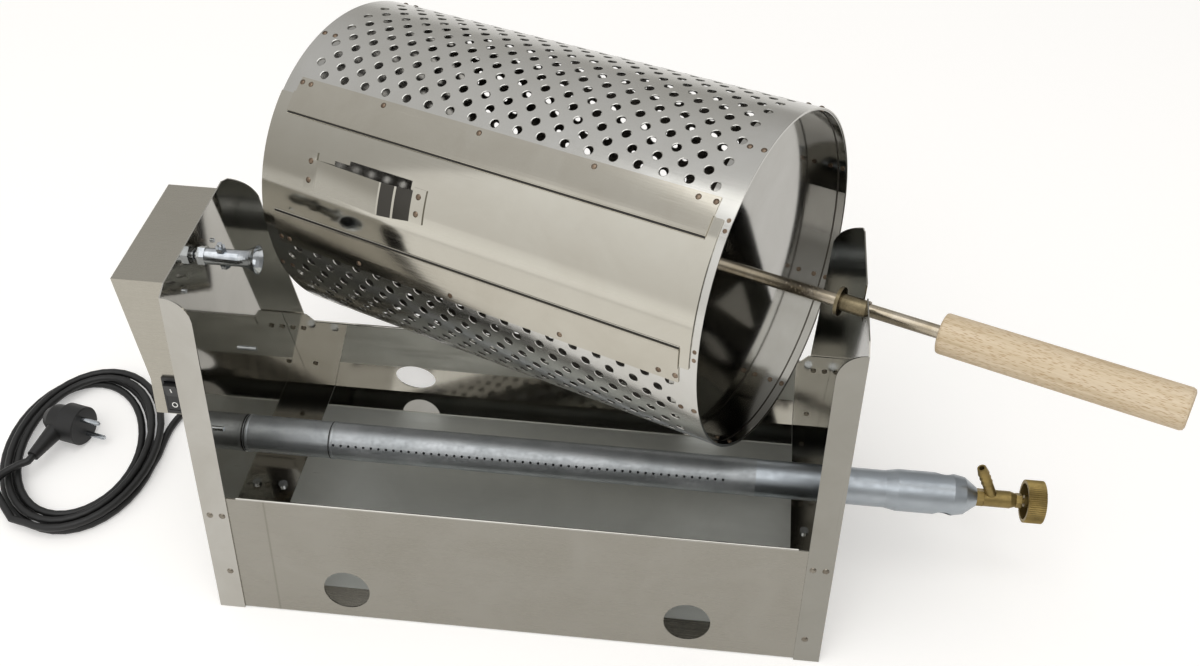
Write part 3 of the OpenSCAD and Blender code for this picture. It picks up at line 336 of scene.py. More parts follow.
finishes = dict(
    # cold-rolled stainless sheet, brushed along its length: warm grey with blurred reflections
    frontSheet=sheetSteel("stainless_sheet_brushed", colour="#95928a", stain="#88847a", roughness=0.23,
                          grain=(60, 0.8, 0.0003), wave=(170, 0.12), fold=-199),
    # the same sheet as rolled: paler and more even
    boxSheet=sheetSteel("stainless_box_sheet_rolled", colour="#a9a59b", stain="#9e9a8f", roughness=0.27,
                        grain=(60, 0.9, 0.0002), wave=(120, 0.12)),
    # bright annealed stainless: mirror-like, darker where it reflects its own inside
    brightSheet=sheetSteel("stainless_sheet_bright_annealed", colour="#b3b1ab", stain="#9c988f", roughness=0.06,
                           grain=(60, 0.8, 0.0003), wave=(120, 0.12)),
    # the same sheet on the right side panel: a little rougher, and its colour darker as painted shade
    handledSheet=sheetSteel("stainless_sheet_right_painted_shade", colour="#94928b", stain="#827f76", roughness=0.085,
                            grain=(60, 0.8, 0.0003), wave=(120, 0.12)),
    # hot-rolled and pickled base sheet: pale, almost matt
    basePlate=sheetSteel("stainless_base_pickled", colour="#cbcdc8", stain="#b8bab4", roughness=0.38,
                         grain=(60, 0.6, 0.001), wave=(200, 0.1), metallic=0.58),
    # rolled and punched drum sheet: satin on top, wavy reflections where punching pulled it
    drumSheet=sheetSteel("stainless_drum_rolled", colour="#c4c3bf", stain="#b3b1a9", roughness=0.19,
                         grain=(30, 0.5, 0.0008), wave=(24, 0.07), turn=alongDrum),
    # its inside: brown-grey and dull, partly heat tint and partly painted shade so that the holes read dark
    drumInside=sheetSteel("stainless_drum_inside_heat_tint_painted_shade", colour="#6b6761", stain="#4c4741", roughness=0.30,
                          grain=(30, 0.6, 0.001), wave=(40, 0.1), turn=alongDrum),
    # the pull's steep leg: the door sheet coloured near black as a painted dark reflection, still glossy
    pullLeg=sheetSteel("stainless_pull_leg_painted_dark_reflection", colour="#4a4844", stain="#33312e", roughness=0.12,
                       grain=(30, 0.6, 0.0004), wave=(40, 0.05), turn=alongDrum),
    # polished door sheet: a warm mirror with long slow waves
    doorSheet=sheetSteel("stainless_door_polished", colour="#bcb9af", stain="#aea99d", roughness=0.09,
                         grain=(50, 0.7, 0.0003), wave=(150, 0.10), turn=alongDrum),
    # folded rails: a little duller than the door between them
    rails=sheetSteel("stainless_rail_folded", colour="#b9b5aa", stain="#a49e91", roughness=0.15,
                     grain=(40, 0.6, 0.0006), wave=(60, 0.05), turn=alongDrum),
    # spun end discs and hoops, polished: they mirror the shaft and the web beside them
    endDiscs=sheetSteel("stainless_disc_polished", colour="#a9a8a4", stain="#908d86", roughness=0.085,
                        grain=(40, 0.7, 0.0003), wave=(90, 0.14), turn=alongDrum),
    # turned bush, brown from grease and heat
    bush=platedSteel("bush_steel_browned", colour="#82775f", dull="#5f5643", roughness=0.30, spangle=1.2,
                     depth=0.0015),
    # ground shaft steel, straw-brown from the burner's heat
    shaft=platedSteel("shaft_steel_heat_tinted", colour="#b3aa9b", dull="#92866f", roughness=0.22, spangle=1.6,
                      depth=0.0008),
    # rivets of the drum, burnt brown
    rivets=platedSteel("rivet_steel_browned", colour="#8a7a6a", dull="#4f3f33", roughness=0.36, spangle=0.8,
                       depth=0.006),
    # rivets of the frame, only dulled
    panelRivets=platedSteel("rivet_steel_bare", colour="#8f897e", dull="#655d52", roughness=0.3, spangle=0.8,
                            depth=0.005),
    # bright zinc plating: cold white-blue, fine even sparkle
    zinc=platedSteel("bright_zinc_plate", colour="#c3c7cb", dull="#a4a9ae", roughness=0.18, spangle=0.9,
                     depth=0.001),
    # die-cast zinc of the gear motor: grey, softly pitted
    gearMotor=platedSteel("die_cast_zinc", colour="#a9abad", dull="#8d8f91", roughness=0.38, spangle=0.9,
                          depth=0.01),
    # hot-dip aluminised tube: dull silver with a faint spangle
    burner=platedSteel("aluminised_tube", colour="#b3b6b8", dull="#9a9ea0", roughness=0.44, spangle=3.0,
                       depth=0.0012, metallic=0.78),
    # the same tube where swaging has smoothed it
    mixer=platedSteel("aluminised_tube_swaged", colour="#a6acb1", dull="#969ca2", roughness=0.37, spangle=8.0,
                      depth=0.0001, metallic=0.96),
    # turned brass gone dull and slightly brown
    brass=platedSteel("turned_brass_dull", colour="#95814f", dull="#7a6941", roughness=0.42, spangle=1.4,
                      depth=0.002, metallic=0.85),
    # painted shade: a brown-black, half matt strip laid in the rail lips' creases and beside the burner's laps
    bakedOil=mouldedPlastic("painted_shade_black_strip", colour="#17140f", roughness=0.55, grit=0.6, depth=0.02),
    # moulded ABS of the switch: black, half gloss
    plastic=mouldedPlastic("black_abs_moulded", colour="#101011", roughness=0.36),
    # moulded PVC of the plug: black, dull and grippy
    plugRubber=mouldedPlastic("black_pvc_moulded", colour="#0a0a0a", roughness=0.5, grit=0.9, depth=0.04),
    # ink printed on the rocker: white, flat
    whitePrint=mouldedPlastic("white_print_ink", colour="#eeeeea", roughness=0.5, grit=0.5, depth=0.005),
    # uncoloured polyamide: cream, half matt
    terminal=mouldedPlastic("natural_polyamide_moulded", colour="#dcd9cc", roughness=0.48),
    # PVC insulation of the motor's leads: blue, smooth
    leads=mouldedPlastic("blue_pvc_lead", colour="#2a3a78", roughness=0.42),
    cord=cordJacket(cordSurface),
    beech=beechWood(beechSurface),
)

# Which CAD nodes wear which finish.
wears = dict(
    frontSheet=["front_panel"],
    boxSheet=["motor_box"],
    brightSheet=["left_side_panel", "back_panel"],
    handledSheet=["right_side_panel"],
    basePlate=["base_plate"],
    panelRivets=["frame_rivets"],
    zinc=["base_screws", "box_screws", "motor_screws", "drive_shaft", "drive_nut", "drive_socket", "cross_bolt",
          "plug_pins", "burner_screw"],
    gearMotor=["gearbox", "motor_can"],
    terminal=["terminal_block"],
    leads=["motor_leads"],
    plastic=["switch_body", "cord_gland", "switch_rocker"],
    plugRubber=["plug_body"],
    whitePrint=["switch_marks"],
    burner=["burner_tube", "burner_cap"],
    mixer=["mixer_tube"],
    brass=["gas_jet", "valve_body", "packing_nut", "valve_needle", "valve_spindle", "valve_knob"],
    endDiscs=["disc_left", "disc_right", "hoop_left", "hoop_right"],
    bush=["bush_sleeve", "bush_flange"],
    beech=["handle_grip"],
    shaft=["drum_shaft"],
    rails=["rail_upper", "rail_lower"],
    rivets=["rail_rivets", "rim_rivets", "pull_rivets"],
    doorSheet=["door_panel", "door_pull"],
    drumSheet=["drum_shell"],
    cord=["cord", "cord_coil", "cord_tail"],
)
for finish, names in wears.items():
    for name in names:
        mesh = nodes[name].data
        mesh.materials.clear()
        mesh.materials.append(finishes[finish])
print("materials made:", len(finishes))


# The mains cord in mm and degrees: straight down from its gland, round on the table, a loose coil in two layers,
# and up to the plug that lies on it.
cordWay = dict(
    diameter=6.7, roundness=3,
    lead=[(-262, 20, 187), (-262, 20, 178), (-262, 21, 140), (-262, 24, 80), (-265, 38, 30), (-277, 62, 7),
          (-300, 90, 3.4), (-328, 106, 3.4), (-350, 92, 3.4), (-362, 58, 3.4)],
    middle=(-435, 20), halfLong=99, halfShort=70, tilt=107, start=250, turns=4.28, pitch=8.2, floor=3.4,
    climb=0.5, rise=7.3, shift=(5, 0), twist=-8,  # over this part of a turn, the coil goes up to its second layer
    tail=[(-480, -47, 16.5), (-483, -34, 18.5), (-474, -20, 18.5)],
    plugTip=(-464, -6, 18.5), plugTurn=-12,
    # points for each turn in CAD and here, and from one point of lead or tail to the next
    cadSteps=24, coilSteps=40, runSteps=6,
)


def smoothThrough(points, steps):
    # Catmull-Rom curve: between two points b and c, with a before and d after, half of
    # 2b + (c-a)u + (2a-5b+4c-d)u^2 + (3b-a-3c+d)u^3.
    p = np.asarray(points, float)
    k = np.arange(len(p) - 1)
    a, b, c, d = p[np.maximum(k - 1, 0)], p[:-1], p[1:], p[np.minimum(k + 2, len(p) - 1)]
    a, b, c, d = (q[:, None, :] for q in (a, b, c, d))
    u = (np.arange(steps) / steps)[None, :, None]
    curve = 0.5 * (2 * b + (c - a) * u + (2 * a - 5 * b + 4 * c - d) * u ** 2 + (3 * b - a - 3 * c + d) * u ** 3)
    return np.concatenate([curve.reshape(-1, 3), p[-1:]])


def coilLine(w, perTurn):
    # Ellipse whose half axes shrink by the pitch each turn and grow again after the middle, where it climbs
    # by the rise and shifts and twists with the same smooth step u*u*(3-2u).
    t = np.linspace(0, w["turns"], round(perTurn * w["turns"]) + 1)
    u = np.clip((t - w["turns"] / 2 + w["climb"] / 2) / w["climb"], 0, 1)
    up = u * u * (3 - 2 * u)
    draw = w["pitch"] * np.minimum(t, w["turns"] - t)
    tilt = np.radians(w["tilt"] + w["twist"] * up)
    a = np.radians(w["start"] - 360 * t - w["twist"] * up)
    x, y = (w["halfLong"] - draw) * np.cos(a), (w["halfShort"] - draw) * np.sin(a)
    return np.stack([
        w["middle"][0] + w["shift"][0] * up + x * np.cos(tilt) - y * np.sin(tilt),
        w["middle"][1] + w["shift"][1] * up + x * np.sin(tilt) + y * np.cos(tilt),
        w["floor"] + w["rise"] * up], axis=1)


def unitRow(v):
    # A vector divided by its length.
    return v / np.linalg.norm(v)


def cordRoute(w):
    # The lead, the coil and the tail in one line. Lead and tail meet the coil along its own direction, with points
    # two diameters and one diameter off its ends; the tail meets the plug along the plug's.
    d = w["diameter"]
    rough = coilLine(w, w["cadSteps"])
    goesIn, comesOut = unitRow(rough[1] - rough[0]), unitRow(rough[-1] - rough[-2])
    lead = smoothThrough(w["lead"] + [tuple(rough[0] - 2 * d * goesIn)], w["runSteps"])
    turn = math.radians(90 + w["plugTurn"])
    boot = np.array(w["plugTip"], float)
    before = boot - d * np.array([math.cos(turn), math.sin(turn), 0])
    tail = smoothThrough([tuple(rough[-1] + 2 * d * comesOut)] + w["tail"] + [tuple(before)], w["runSteps"])
    return np.concatenate([lead, [rough[0] - d * goesIn], coilLine(w, w["coilSteps"]), [rough[-1] + d * comesOut],
                           tail, [boot]])


def makeCord(w):
    # A round of the cord's diameter carried along its route.
    route = cordRoute(w) * mm
    curve = bpy.data.curves.new("mains_cord", "CURVE")
    curve.dimensions = "3D"
    spline = curve.splines.new("POLY")
    spline.points.add(len(route) - 1)
    spline.points.foreach_set("co", np.concatenate([route, np.ones((len(route), 1))], 1).ravel())
    curve.bevel_depth, curve.bevel_resolution, curve.use_fill_caps = w["diameter"] / 2 * mm, w["roundness"], True
    curve.materials.append(finishes["cord"])
    spline.use_smooth = True
    piece = bpy.data.objects.new("mains_cord", curve)
    scene.collection.objects.link(piece)
    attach(piece, "frame")
    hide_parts("cord", "cord_coil", "cord_tail")
    length = float(np.linalg.norm(np.diff(route, axis=0), axis=1).sum())
    return piece, length


mainsCord, cordLength = makeCord(cordWay)
print("cord length", round(cordLength, 3))


# The strain relief where the cord leaves the box, in mm: a ribbed sleeve, tapering downwards.
relief = dict(
    x=-262, top=182.5, low=148.0, wide=6.2, narrow=4.1, tip=3.42,
    ribs=7, ribDepth=0.55, ribFlatness=0.3, ribSteps=8, around=32,
    leanFrom=(20, 187), lean=0.00045,  # y and height where the cord starts to lean
)


def makeRelief(v):
    # Profile: the radius falls evenly from wide to narrow, with a groove between ribs where a cosine is low;
    # turned round the vertical, its centre leaning with the square of the height below the start of the lean.
    height = np.linspace(0, 1, v["ribs"] * v["ribSteps"] + 1)
    beat = np.cos(2 * np.pi * v["ribs"] * height)
    groove = v["ribDepth"] * 0.5 * (1 - np.sign(beat) * np.abs(beat) ** v["ribFlatness"])
    radius = v["wide"] + (v["narrow"] - v["wide"]) * height - groove
    radius[-1] = v["tip"]
    angle = np.linspace(0, 2 * np.pi, v["around"], endpoint=False)
    z = v["top"] - (v["top"] - v["low"]) * height
    leaning = v["leanFrom"][0] + (v["leanFrom"][1] - z) ** 2 * v["lean"]
    x = v["x"] + radius[:, None] * np.cos(angle)
    y = leaning[:, None] + radius[:, None] * np.sin(angle)
    points = np.stack([x, y, np.broadcast_to(z[:, None], x.shape)], -1).reshape(-1, 3) * mm
    piece = meshPiece("cord_strain_relief", points, tubeFaces(len(height), v["around"]), finishes["plugRubber"],
                      body="frame")
    return finishPiece(piece, sharpDegrees=40)


strainRelief = makeRelief(relief)
print("strain relief made")


# The drum in mm and degrees above the front. s is the way left from its right rim.
drum = dict(
    middle=(250, -8.5, 277), radius=131.0, sheet=1.0, rim=69.4, length=387.0,
    firstRow=62.5, rowStep=4.5, rows=67,
    firstHole=21.4, holeStep=19.76, holes=18, holeRadius=3.55, deburr=0.45, deburrDepth=0.3,
    window=(17.0, 43.0), windowEnds=(26, 362),  # angles, and s of its two ends
    plainSteps=(5, 8, 6),  # grid lines before, over and after the window
    lastStrip=5,  # at the left rim
)
cellLong, cellHigh = 4, 2  # grid squares in one hole's cell, along and round the drum
halfCell = cellLong // 2  # how far every second row of holes is set on


def onDrum(x, y, z, v=drum):
    # From the drum's own axes, with x along its shaft to the right, to the whole model's, in metres.
    cs, sn, cd, sd = math.cos(swing), math.sin(swing), math.cos(droop), math.sin(droop)
    ex, ey, ez = np.array([cs * cd, -sn * cd, sd]), np.array([sn, cs, 0]), np.array([-cs * sd, sn * sd, cd])
    x, y, z = np.broadcast_arrays(x, y, z)
    return (np.array(v["middle"]) + x[..., None] * ex + y[..., None] * ey + z[..., None] * ez) * mm


def onShell(s, degrees, radius):
    # A point s left of the right rim, at an angle above the front and a distance from the axis.
    a = np.radians(degrees)
    return onDrum(-drum["rim"] - np.asarray(s, float), -radius * np.cos(a), radius * np.sin(a))


def shellLines(v):
    # The grid's lines: s at each quarter of a hole's cell, and half a cell further for the rows that are set on;
    # angles at each half of a cell, then on over the plain part with the window.
    step = v["holeStep"] / cellLong
    s0 = v["firstHole"] - halfCell * step
    s = np.concatenate([[0, s0 / 2], s0 + step * np.arange(cellLong * v["holes"] + halfCell + 1),
                        [v["length"] - v["lastStrip"], v["length"]]])
    halfRow = v["rowStep"] / cellHigh
    perforated = v["firstRow"] - halfRow + halfRow * np.arange(cellHigh * v["rows"] + 1)
    low, high = v["window"]
    before, over, after = v["plainSteps"]
    plain = np.concatenate([np.linspace(perforated[-1] - 360, low, before)[1:], np.linspace(low, high, over)[1:],
                            np.linspace(high, perforated[0], after)[1:-1]])
    return s, np.concatenate([perforated, plain + 360]), step


def openEdges(isOpen, index):
    # Both point numbers of every grid edge between an open square and one that isn't.
    r, c = np.where(isOpen)
    up = (r + 1) % len(isOpen)
    sides = (
        (isOpen[r - 1, c], index[r, c], index[r, c + 1]),
        (isOpen[up, c], index[up, c + 1], index[up, c]),
        (isOpen[r, c - 1], index[up, c], index[r, c]),
        (isOpen[r, c + 1], index[r, c + 1], index[up, c + 1]),
    )
    return [np.stack([a[~beyond], b[~beyond]], 1) for beyond, a, b in sides]


def makeShell(v):
    # A grid in s and angle. Each hole's cell, four squares long and two high, has a ring of twelve points at the
    # hole's radius, joined to the twelve points round the cell; every second row is half a cell on. The same grid
    # at the inner radius, turned over, is the inside, and strips join the two at the holes, rims and window.
    s, angle, step = shellLines(v)
    rows, cols = len(angle), len(s)
    gridS, gridA = (q.ravel() for q in np.meshgrid(s, angle))
    index = np.arange(rows * cols).reshape(rows, cols)
    k, j = (q.ravel() for q in np.meshgrid(np.arange(v["rows"]), np.arange(v["holes"]), indexing="ij"))
    first = 2  # the grid line where the cells start
    row, col = cellHigh * k, first + cellLong * j + halfCell * (k % 2)
    inCell = np.zeros((rows, cols), bool)  # squares that a hole takes up
    for dr in range(cellHigh):
        for dc in range(cellLong):
            inCell[row + dr, col + dc] = True
    hair = 1e-3  # degrees, so that the window's own first line counts as in it and its last doesn't
    low, high = (360 + edge - hair for edge in v["window"])
    inWindow = ((angle > low) & (angle < high))[:, None] & ((s >= v["windowEnds"][0]) & (s < v["windowEnds"][1]))

    # the squares of plain sheet
    r, c = np.where(~(inCell | inWindow)[:, :-1])
    up = (r + 1) % rows
    squares = np.stack([index[r, c], index[up, c], index[up, c + 1], index[r, c + 1]], 1)

    # the twelve points round each cell and on its hole, from the middle of the cell's left side
    around = [(1, 0), (2, 0), (2, 1), (2, 2), (2, 3), (2, 4), (1, 4), (0, 4), (0, 3), (0, 2), (0, 1), (0, 0)]
    corners = len(around)
    cellEdge = np.stack([index[row + dr, col + dc] for dr, dc in around], 1)
    turnAt = np.radians(180 - 360 / corners * np.arange(corners))
    middleS = s[col] + halfCell * step
    middleA = angle[row + 1]

    def ring(radius):
        # s and angle of the points on a circle laid on the sheet
        return (middleS[:, None] + radius * np.cos(turnAt),
                middleA[:, None] + np.degrees(radius * np.sin(turnAt) / v["radius"]))

    outer, inner = v["radius"], v["radius"] - v["sheet"]
    wideS, wideA = ring(v["holeRadius"] + v["deburr"])
    holeS, holeA = ring(v["holeRadius"])
    points = np.concatenate([
        onShell(gridS, gridA, outer), onShell(wideS, wideA, outer).reshape(-1, 3),
        onShell(holeS, holeA, outer - v["deburrDepth"]).reshape(-1, 3),
        onShell(gridS, gridA, inner), onShell(holeS, holeA, inner).reshape(-1, 3)])
    count = len(k) * corners
    back = len(gridS) + 2 * count  # the inside's first point
    ids = np.arange(count).reshape(-1, corners)
    rimOut, rimIn, rimBack = len(gridS) + ids, len(gridS) + count + ids, back + len(gridS) + ids

    def strip(a, b):
        # quads between two rings of points
        return np.stack([a, np.roll(a, -1, 1), np.roll(b, -1, 1), b], -1).reshape(-1, 4)

    # edges that need a wall between the outside and the inside: both rims, and the window's
    line = np.arange(rows)
    above = (line + 1) % rows
    edges = np.concatenate([np.stack([index[above, 0], index[line, 0]], 1),
                            np.stack([index[line, -1], index[above, -1]], 1), *openEdges(inWindow, index)])
    faces = np.concatenate([
        squares, strip(cellEdge, rimOut), strip(rimOut, rimIn), strip(rimIn, rimBack),
        squares[:, ::-1] + back, strip(cellEdge + back, rimBack)[:, ::-1],
        np.stack([edges[:, 0], edges[:, 1], edges[:, 1] + back, edges[:, 0] + back], 1)])
    inside = (faces >= back).all(axis=1)
    kept, faces = np.unique(faces, return_inverse=True)
    faces = faces.reshape(-1, 4)
    piece = meshPiece("perforated_drum_shell", points[kept], faces, finishes["drumSheet"])
    # the inside's faces take the darker finish: heat tint with painted shade
    piece.data.materials.append(finishes["drumInside"])
    piece.data.polygons.foreach_set("material_index", inside.astype(np.int32))
    finishPiece(piece, sharpDegrees=32)
    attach(piece, "drum")
    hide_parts("drum_shell")
    return piece


drumShell = makeShell(drum)
print("drum shell made:", len(drumShell.data.polygons), "faces")


# The folded lips of the door's rails. A profile's pairs are the way from the lip's edge towards the door and the
# height over the radius under it, in mm.
lipFold = dict(
    edges=((47.28, -1), (12.72, 1)), start=13.8, end=373.8, rings=9,  # each lip's angle, and its way to the door
    under=132.38,
    crest=[(-0.55, 0.4), (-0.55, 1.42), (-0.2, 1.72), (0.25, 1.66), (0.5, 1.2), (0.55, 0.16)],
    # crease is a thin near-black strip just over the door beside each lip: painted shade
    crease=[(0.45, 0.10), (0.45, 0.3), (1.1, 0.22), (1.8, 0.24), (1.8, 0.10)],
    bead=[(1.75, 0.10), (1.72, 0.42), (1.95, 0.58), (2.25, 0.42), (2.4, 0.10)],
    looks=dict(crest="rails", crease="bakedOil", bead="rails"),
)


def makeLipFold(v):
    # Each profile, bent round the drum, is carried straight along it at both lips.
    along = np.linspace(v["start"], v["end"], v["rings"])
    for part, finish in v["looks"].items():
        away, up = np.array(v[part]).T
        points, faces = [], []
        for n, (edge, way) in enumerate(v["edges"]):
            angle = edge + way * np.degrees(away / v["under"])
            points.append(onShell(along[:, None], angle, v["under"] + up).reshape(-1, 3))
            faces += tubeFaces(v["rings"], len(away), start=n * v["rings"] * len(away))
        finishPiece(meshPiece("lip_fold_" + part, np.concatenate(points), faces, finishes[finish], body="drum"), sharpDegrees=40)


makeLipFold(lipFold)


# The door's pull, in mm and degrees: a bridge of bent sheet. Its line runs from the far foot to the near one, each
# entry with s, the height of the upper face and the top angle.
doorPull = dict(
    under=132.37, sheet=1.0, low=24.6, across=7,
    line=[(344, 1, 36.8), (334.5, 1, 36.8), (334.45, 1, 34.4), (333.2, 1.02, 34.4), (332.0, 1.2, 34.4),
          (267.5, 10.78, 34.4), (266.2, 10.95, 34.4), (265.0, 10.6, 34.4), (255.3, 7.25, 34.4),
          (254.5, 6.95, 34.4), (253.8, 6.6, 34.4), (244.2, 1.5, 34.4), (243.15, 1.05, 34.4),
          (243.1, 1, 35.6), (231.5, 1, 35.6)],
    legs=(7, 10, 11),  # the stretches of that line coloured near black: a painted dark reflection
)


def makePull(v):
    # The line gives the upper face along the drum, each point carried round the drum from the low angle to its top
    # angle; the lower face lies one thickness under it, and strips close the four sides.
    s, up, high = np.array(v["line"]).T
    angle = v["low"] + (high - v["low"])[:, None] * np.linspace(0, 1, v["across"])
    top = onShell(s[:, None], angle, (v["under"] + up)[:, None])
    below = onShell(s[:, None], angle, (v["under"] + np.maximum(up - v["sheet"], 0.0))[:, None])
    rows, cols = len(s), v["across"]
    upper = gridFaces(rows, cols)
    lower = [face[::-1] for face in gridFaces(rows, cols, start=rows * cols)]
    ids = np.arange(rows * cols).reshape(rows, cols)
    faces = upper + lower
    for side in (ids[:, 0], ids[:, -1], ids[0], ids[-1]):
        faces += wallFaces(side, side + rows * cols)
    # the legs' upper faces take the near-black finish, a painted dark reflection
    dark = np.zeros(len(faces), np.int32)
    dark[:len(upper)] = np.isin(np.arange(len(upper)) // (cols - 1), v["legs"])
    points = np.concatenate([top.reshape(-1, 3), below.reshape(-1, 3)])
    piece = meshPiece("door_pull_bridge", points, faces, finishes["doorSheet"], body="door")
    piece.data.materials.append(finishes["pullLeg"])
    piece.data.polygons.foreach_set("material_index", dark)
    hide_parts("door_pull")
    finishPiece(piece, sharpDegrees=14)


makePull(doorPull)


# The rounded tops of the front and back panels' hems, in mm: each top edge's height and half its length. The panels
# lean in by slope, and depth is half the frame's at its foot.
hemFold = dict(
    front=(113.0, 221.0), back=(108.0, 221.0), depth=132.0, slope=0.20748, skin=1.0213,
    radius=1.06, sweep=(-8, 188), sink=0.12, around=15, rings=12,
)


def makeHemFold(v):
    # A circle's upper half over the sheet's two thicknesses, closed below and carried along each top edge.
    turn = np.radians(np.linspace(*v["sweep"], v["around"]))
    points, faces = [], []
    for n, ((height, half), way) in enumerate(((v["front"], -1), (v["back"], 1))):
        middle = v["depth"] - v["slope"] * height - 2 * v["skin"]
        along = np.linspace(-half, half, v["rings"])
        x, y = np.meshgrid(along, way * (middle + v["radius"] * np.cos(turn)), indexing="ij")
        z = np.broadcast_to(height - v["sink"] + v["radius"] * np.sin(turn), x.shape)
        points.append(np.stack([x, y, z], -1).reshape(-1, 3) * mm)
        faces += tubeFaces(v["rings"], v["around"], start=n * v["rings"] * v["around"])
    finishPiece(meshPiece("hem_fold", np.concatenate(points), faces, finishes["brightSheet"], body="frame"), sharpDegrees=50)


makeHemFold(hemFold)


# Laps in the burner's tube, in mm: x of each, and profiles with the way along the tube and the height over it.
burnerJoints = dict(
    axis=(-9.5, 81.0), radius=15.9, at=(-246.4, -173.0), around=48,
    rings=[(-1.3, -0.3), (-1.3, 0.06), (-1.05, 0.336), (-0.7, 0.42), (0.7, 0.336), (1.3, 0.05), (1.3, -0.3)],
    shadow=[(-2.2, 0.02), (-2.2, 0.12), (-1.28, 0.16), (-1.28, 0.02)],
    looks=dict(rings="burner", shadow="bakedOil"),
)


def makeBurnerJoints(v):
    # Each profile turned round the burner's axis: a low rounded ring, and a thin near-black strip on its left, a
    # painted shadow.
    turn = np.linspace(0, 2 * np.pi, v["around"], endpoint=False)[:, None]
    for part, finish in v["looks"].items():
        along, up = np.array(v[part]).T
        radius = v["radius"] + up
        points, faces = [], []
        for n, x in enumerate(v["at"]):
            y, z = v["axis"][0] + radius * np.cos(turn), v["axis"][1] + radius * np.sin(turn)
            points.append(np.stack([np.broadcast_to(x + along, y.shape), y, z], -1).reshape(-1, 3) * mm)
            faces += gridFaces(v["around"], len(along), True, True, start=n * v["around"] * len(along))
        finishPiece(meshPiece("burner_lap_" + part, np.concatenate(points), faces, finishes[finish], body="frame"), sharpDegrees=40)


makeBurnerJoints(burnerJoints)


# Spot welds near the drum's right rim: s and angle of each, and a profile with the share of the radius and the
# height over the shell in mm.
spotWelds = dict(
    places=[(2.9, 53.6), (2.9, 50.3), (2.9, 13.1), (2.9, 10.2), (3.4, 79.0)], radius=1.7, around=20,
    middle=0.02, profile=[(0.35, 0.03), (0.7, 0.12), (0.85, 0.108), (1.0, -0.08)],
)


def makeSpotWelds(v):
    # A shallow dish with a raised rim: the height over the shell follows the distance from its middle.
    share, rise = np.array(v["profile"]).T
    out = (share * v["radius"])[:, None]
    around, rings = v["around"], len(share)
    turn = np.linspace(0, 2 * np.pi, around, endpoint=False)
    offS = np.append(0, out * np.cos(turn))
    offA = np.append(0, np.degrees(out * np.sin(turn) / drum["radius"]))
    up = np.append(v["middle"], np.repeat(rise, around))
    points, faces = [], []
    for n, (s, angle) in enumerate(v["places"]):
        centre = n * (1 + rings * around)
        points.append(onShell(s + offS, angle + offA, drum["radius"] + up))
        faces += [[centre, centre + 1 + i, centre + 1 + (i + 1) % around] for i in range(around)]
        faces += gridFaces(rings, around, closeColumns=True, start=centre + 1)
        faces.append([centre + 1 + (rings - 1) * around + i for i in range(around)])
    finishPiece(meshPiece("spot_welds", np.concatenate(points), faces, finishes["rivets"], body="drum"), sharpDegrees=40)


makeSpotWelds(spotWelds)
print("folds, laps and spot welds made")


studio = dict(
    floorColour="#eceae7", floorRoughness=0.85, floorGlow=0.27, floorHalf=60, floorHeight=-0.0003,
    # place, size in metres, watts; all lamps point at aim
    lamps=dict(overhead_soft=((0.1, -0.9, 2.8), 3.0, 36), front_left_soft=((-1.7, -2.2, 1.5), 3.2, 15)),
    aim=(0, 0, 0.15),
    sky=[(0.0, "#c4c2be"), (0.16, "#bebcb8"), (0.5, "#cfcecc"), (1.0, "#f0f0f0")],  # from the horizon up
    haze="#e6e5e2", hazeTo=0.14,  # pale where it meets the floor
    # the room is dimmer to the right and behind, by this share where it is dimmest
    dim="#6a6967", dimFrom=(1.0, 0.18, 0.0), dimSpread=(0.1, 0.85), dimShare=0.8,
)


def makeFloor(v):
    # A pale matt floor that keeps the shadow; what the camera, metal and glass see of it also glows a little.
    material, tree, shader = newMaterial("pale_matt_floor")
    shader.inputs["Base Color"].default_value = linearColour(v["floorColour"])
    shader.inputs["Roughness"].default_value = v["floorRoughness"]
    ray = addNode(tree, "ShaderNodeLightPath")
    seen = addNode(tree, "ShaderNodeMath", {"operation": "ADD"}, i0=ray.outputs["Is Camera Ray"],
                   i1=ray.outputs["Is Glossy Ray"])
    seenToo = addNode(tree, "ShaderNodeMath", {"operation": "ADD", "use_clamp": True}, i0=seen.outputs[0],
                      i1=ray.outputs["Is Transmission Ray"])
    level = addNode(tree, "ShaderNodeMath", {"operation": "MULTIPLY"}, i0=seenToo.outputs[0], i1=v["floorGlow"])
    glow = addNode(tree, "ShaderNodeEmission", Strength=level.outputs[0])
    both = addNode(tree, "ShaderNodeAddShader", i0=shader.outputs[0], i1=glow.outputs[0])
    out = next(n for n in tree.nodes if n.type == "OUTPUT_MATERIAL")
    tree.links.new(both.outputs[0], out.inputs["Surface"])
    h, z = v["floorHalf"], v["floorHeight"]
    meshPiece("floor", [(-h, -h, z), (h, -h, z), (h, h, z), (-h, h, z)], [(0, 1, 2, 3)], material,
                       smooth=False)


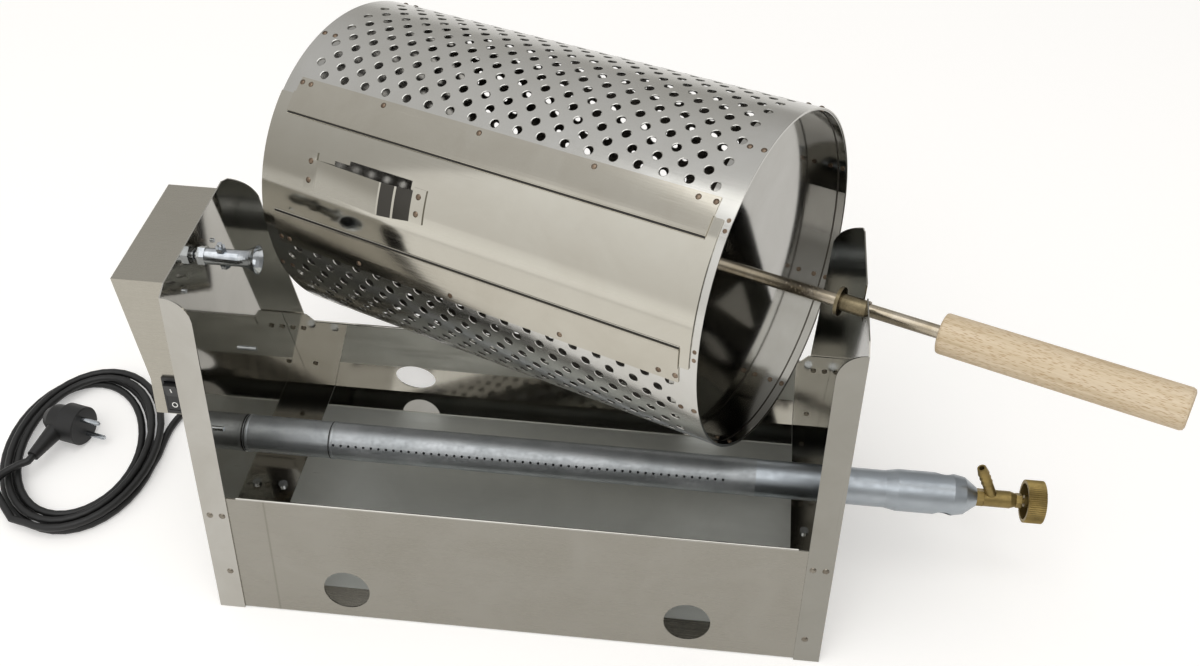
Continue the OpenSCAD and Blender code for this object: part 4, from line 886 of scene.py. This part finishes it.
def makeLamps(v):
    # A large soft light overhead and a weaker one from the front left.
    for name, (place, size, power) in v["lamps"].items():
        data = bpy.data.lights.new(name, "AREA")
        data.shape, data.size, data.energy = "SQUARE", size, power
        lamp = bpy.data.objects.new(name, data)
        lamp.location = place
        lamp.rotation_euler = (Vector(v["aim"]) - Vector(place)).to_track_quat("-Z", "Y").to_euler()
        scene.collection.objects.link(lamp)


def makeWorld(v):
    # A soft room: tones from the horizon up, mixed towards dim by how far a direction points to dimFrom, and
    # towards the haze near the horizon.
    world = bpy.data.worlds.new("soft_room")
    world.use_nodes = True
    tree = world.node_tree
    tree.nodes.clear()
    place = addNode(tree, "ShaderNodeTexCoord")
    height = addNode(tree, "ShaderNodeSeparateXYZ", Vector=place.outputs["Generated"])
    tones = addNode(tree, "ShaderNodeValToRGB", Fac=height.outputs["Z"])
    setRamp(tones, v["sky"])
    side = addNode(tree, "ShaderNodeVectorMath", {"operation": "DOT_PRODUCT"}, i0=place.outputs["Generated"],
                   i1=v["dimFrom"])
    share = addNode(tree, "ShaderNodeMapRange", Value=side.outputs["Value"], From_Min=v["dimSpread"][0],
                    From_Max=v["dimSpread"][1], To_Min=0.0, To_Max=v["dimShare"])
    sky = addNode(tree, "ShaderNodeMix", {"data_type": "RGBA"}, i0=share.outputs[0], i6=tones.outputs[0],
                  i7=linearColour(v["dim"]))
    haze = addNode(tree, "ShaderNodeMapRange", {"interpolation_type": "SMOOTHSTEP"}, Value=height.outputs["Z"],
                   From_Min=0.0, From_Max=v["hazeTo"], To_Min=1.0, To_Max=0.0)
    whole = addNode(tree, "ShaderNodeMix", {"data_type": "RGBA"}, i0=haze.outputs[0], i6=sky.outputs[2],
                    i7=linearColour(v["haze"]))
    back = addNode(tree, "ShaderNodeBackground", Color=whole.outputs[2], Strength=1.0)
    out = addNode(tree, "ShaderNodeOutputWorld")
    tree.links.new(back.outputs[0], out.inputs["Surface"])
    scene.world = world


makeFloor(studio)
makeLamps(studio)
makeWorld(studio)
scene.view_settings.view_transform = "Standard"
print("studio made")
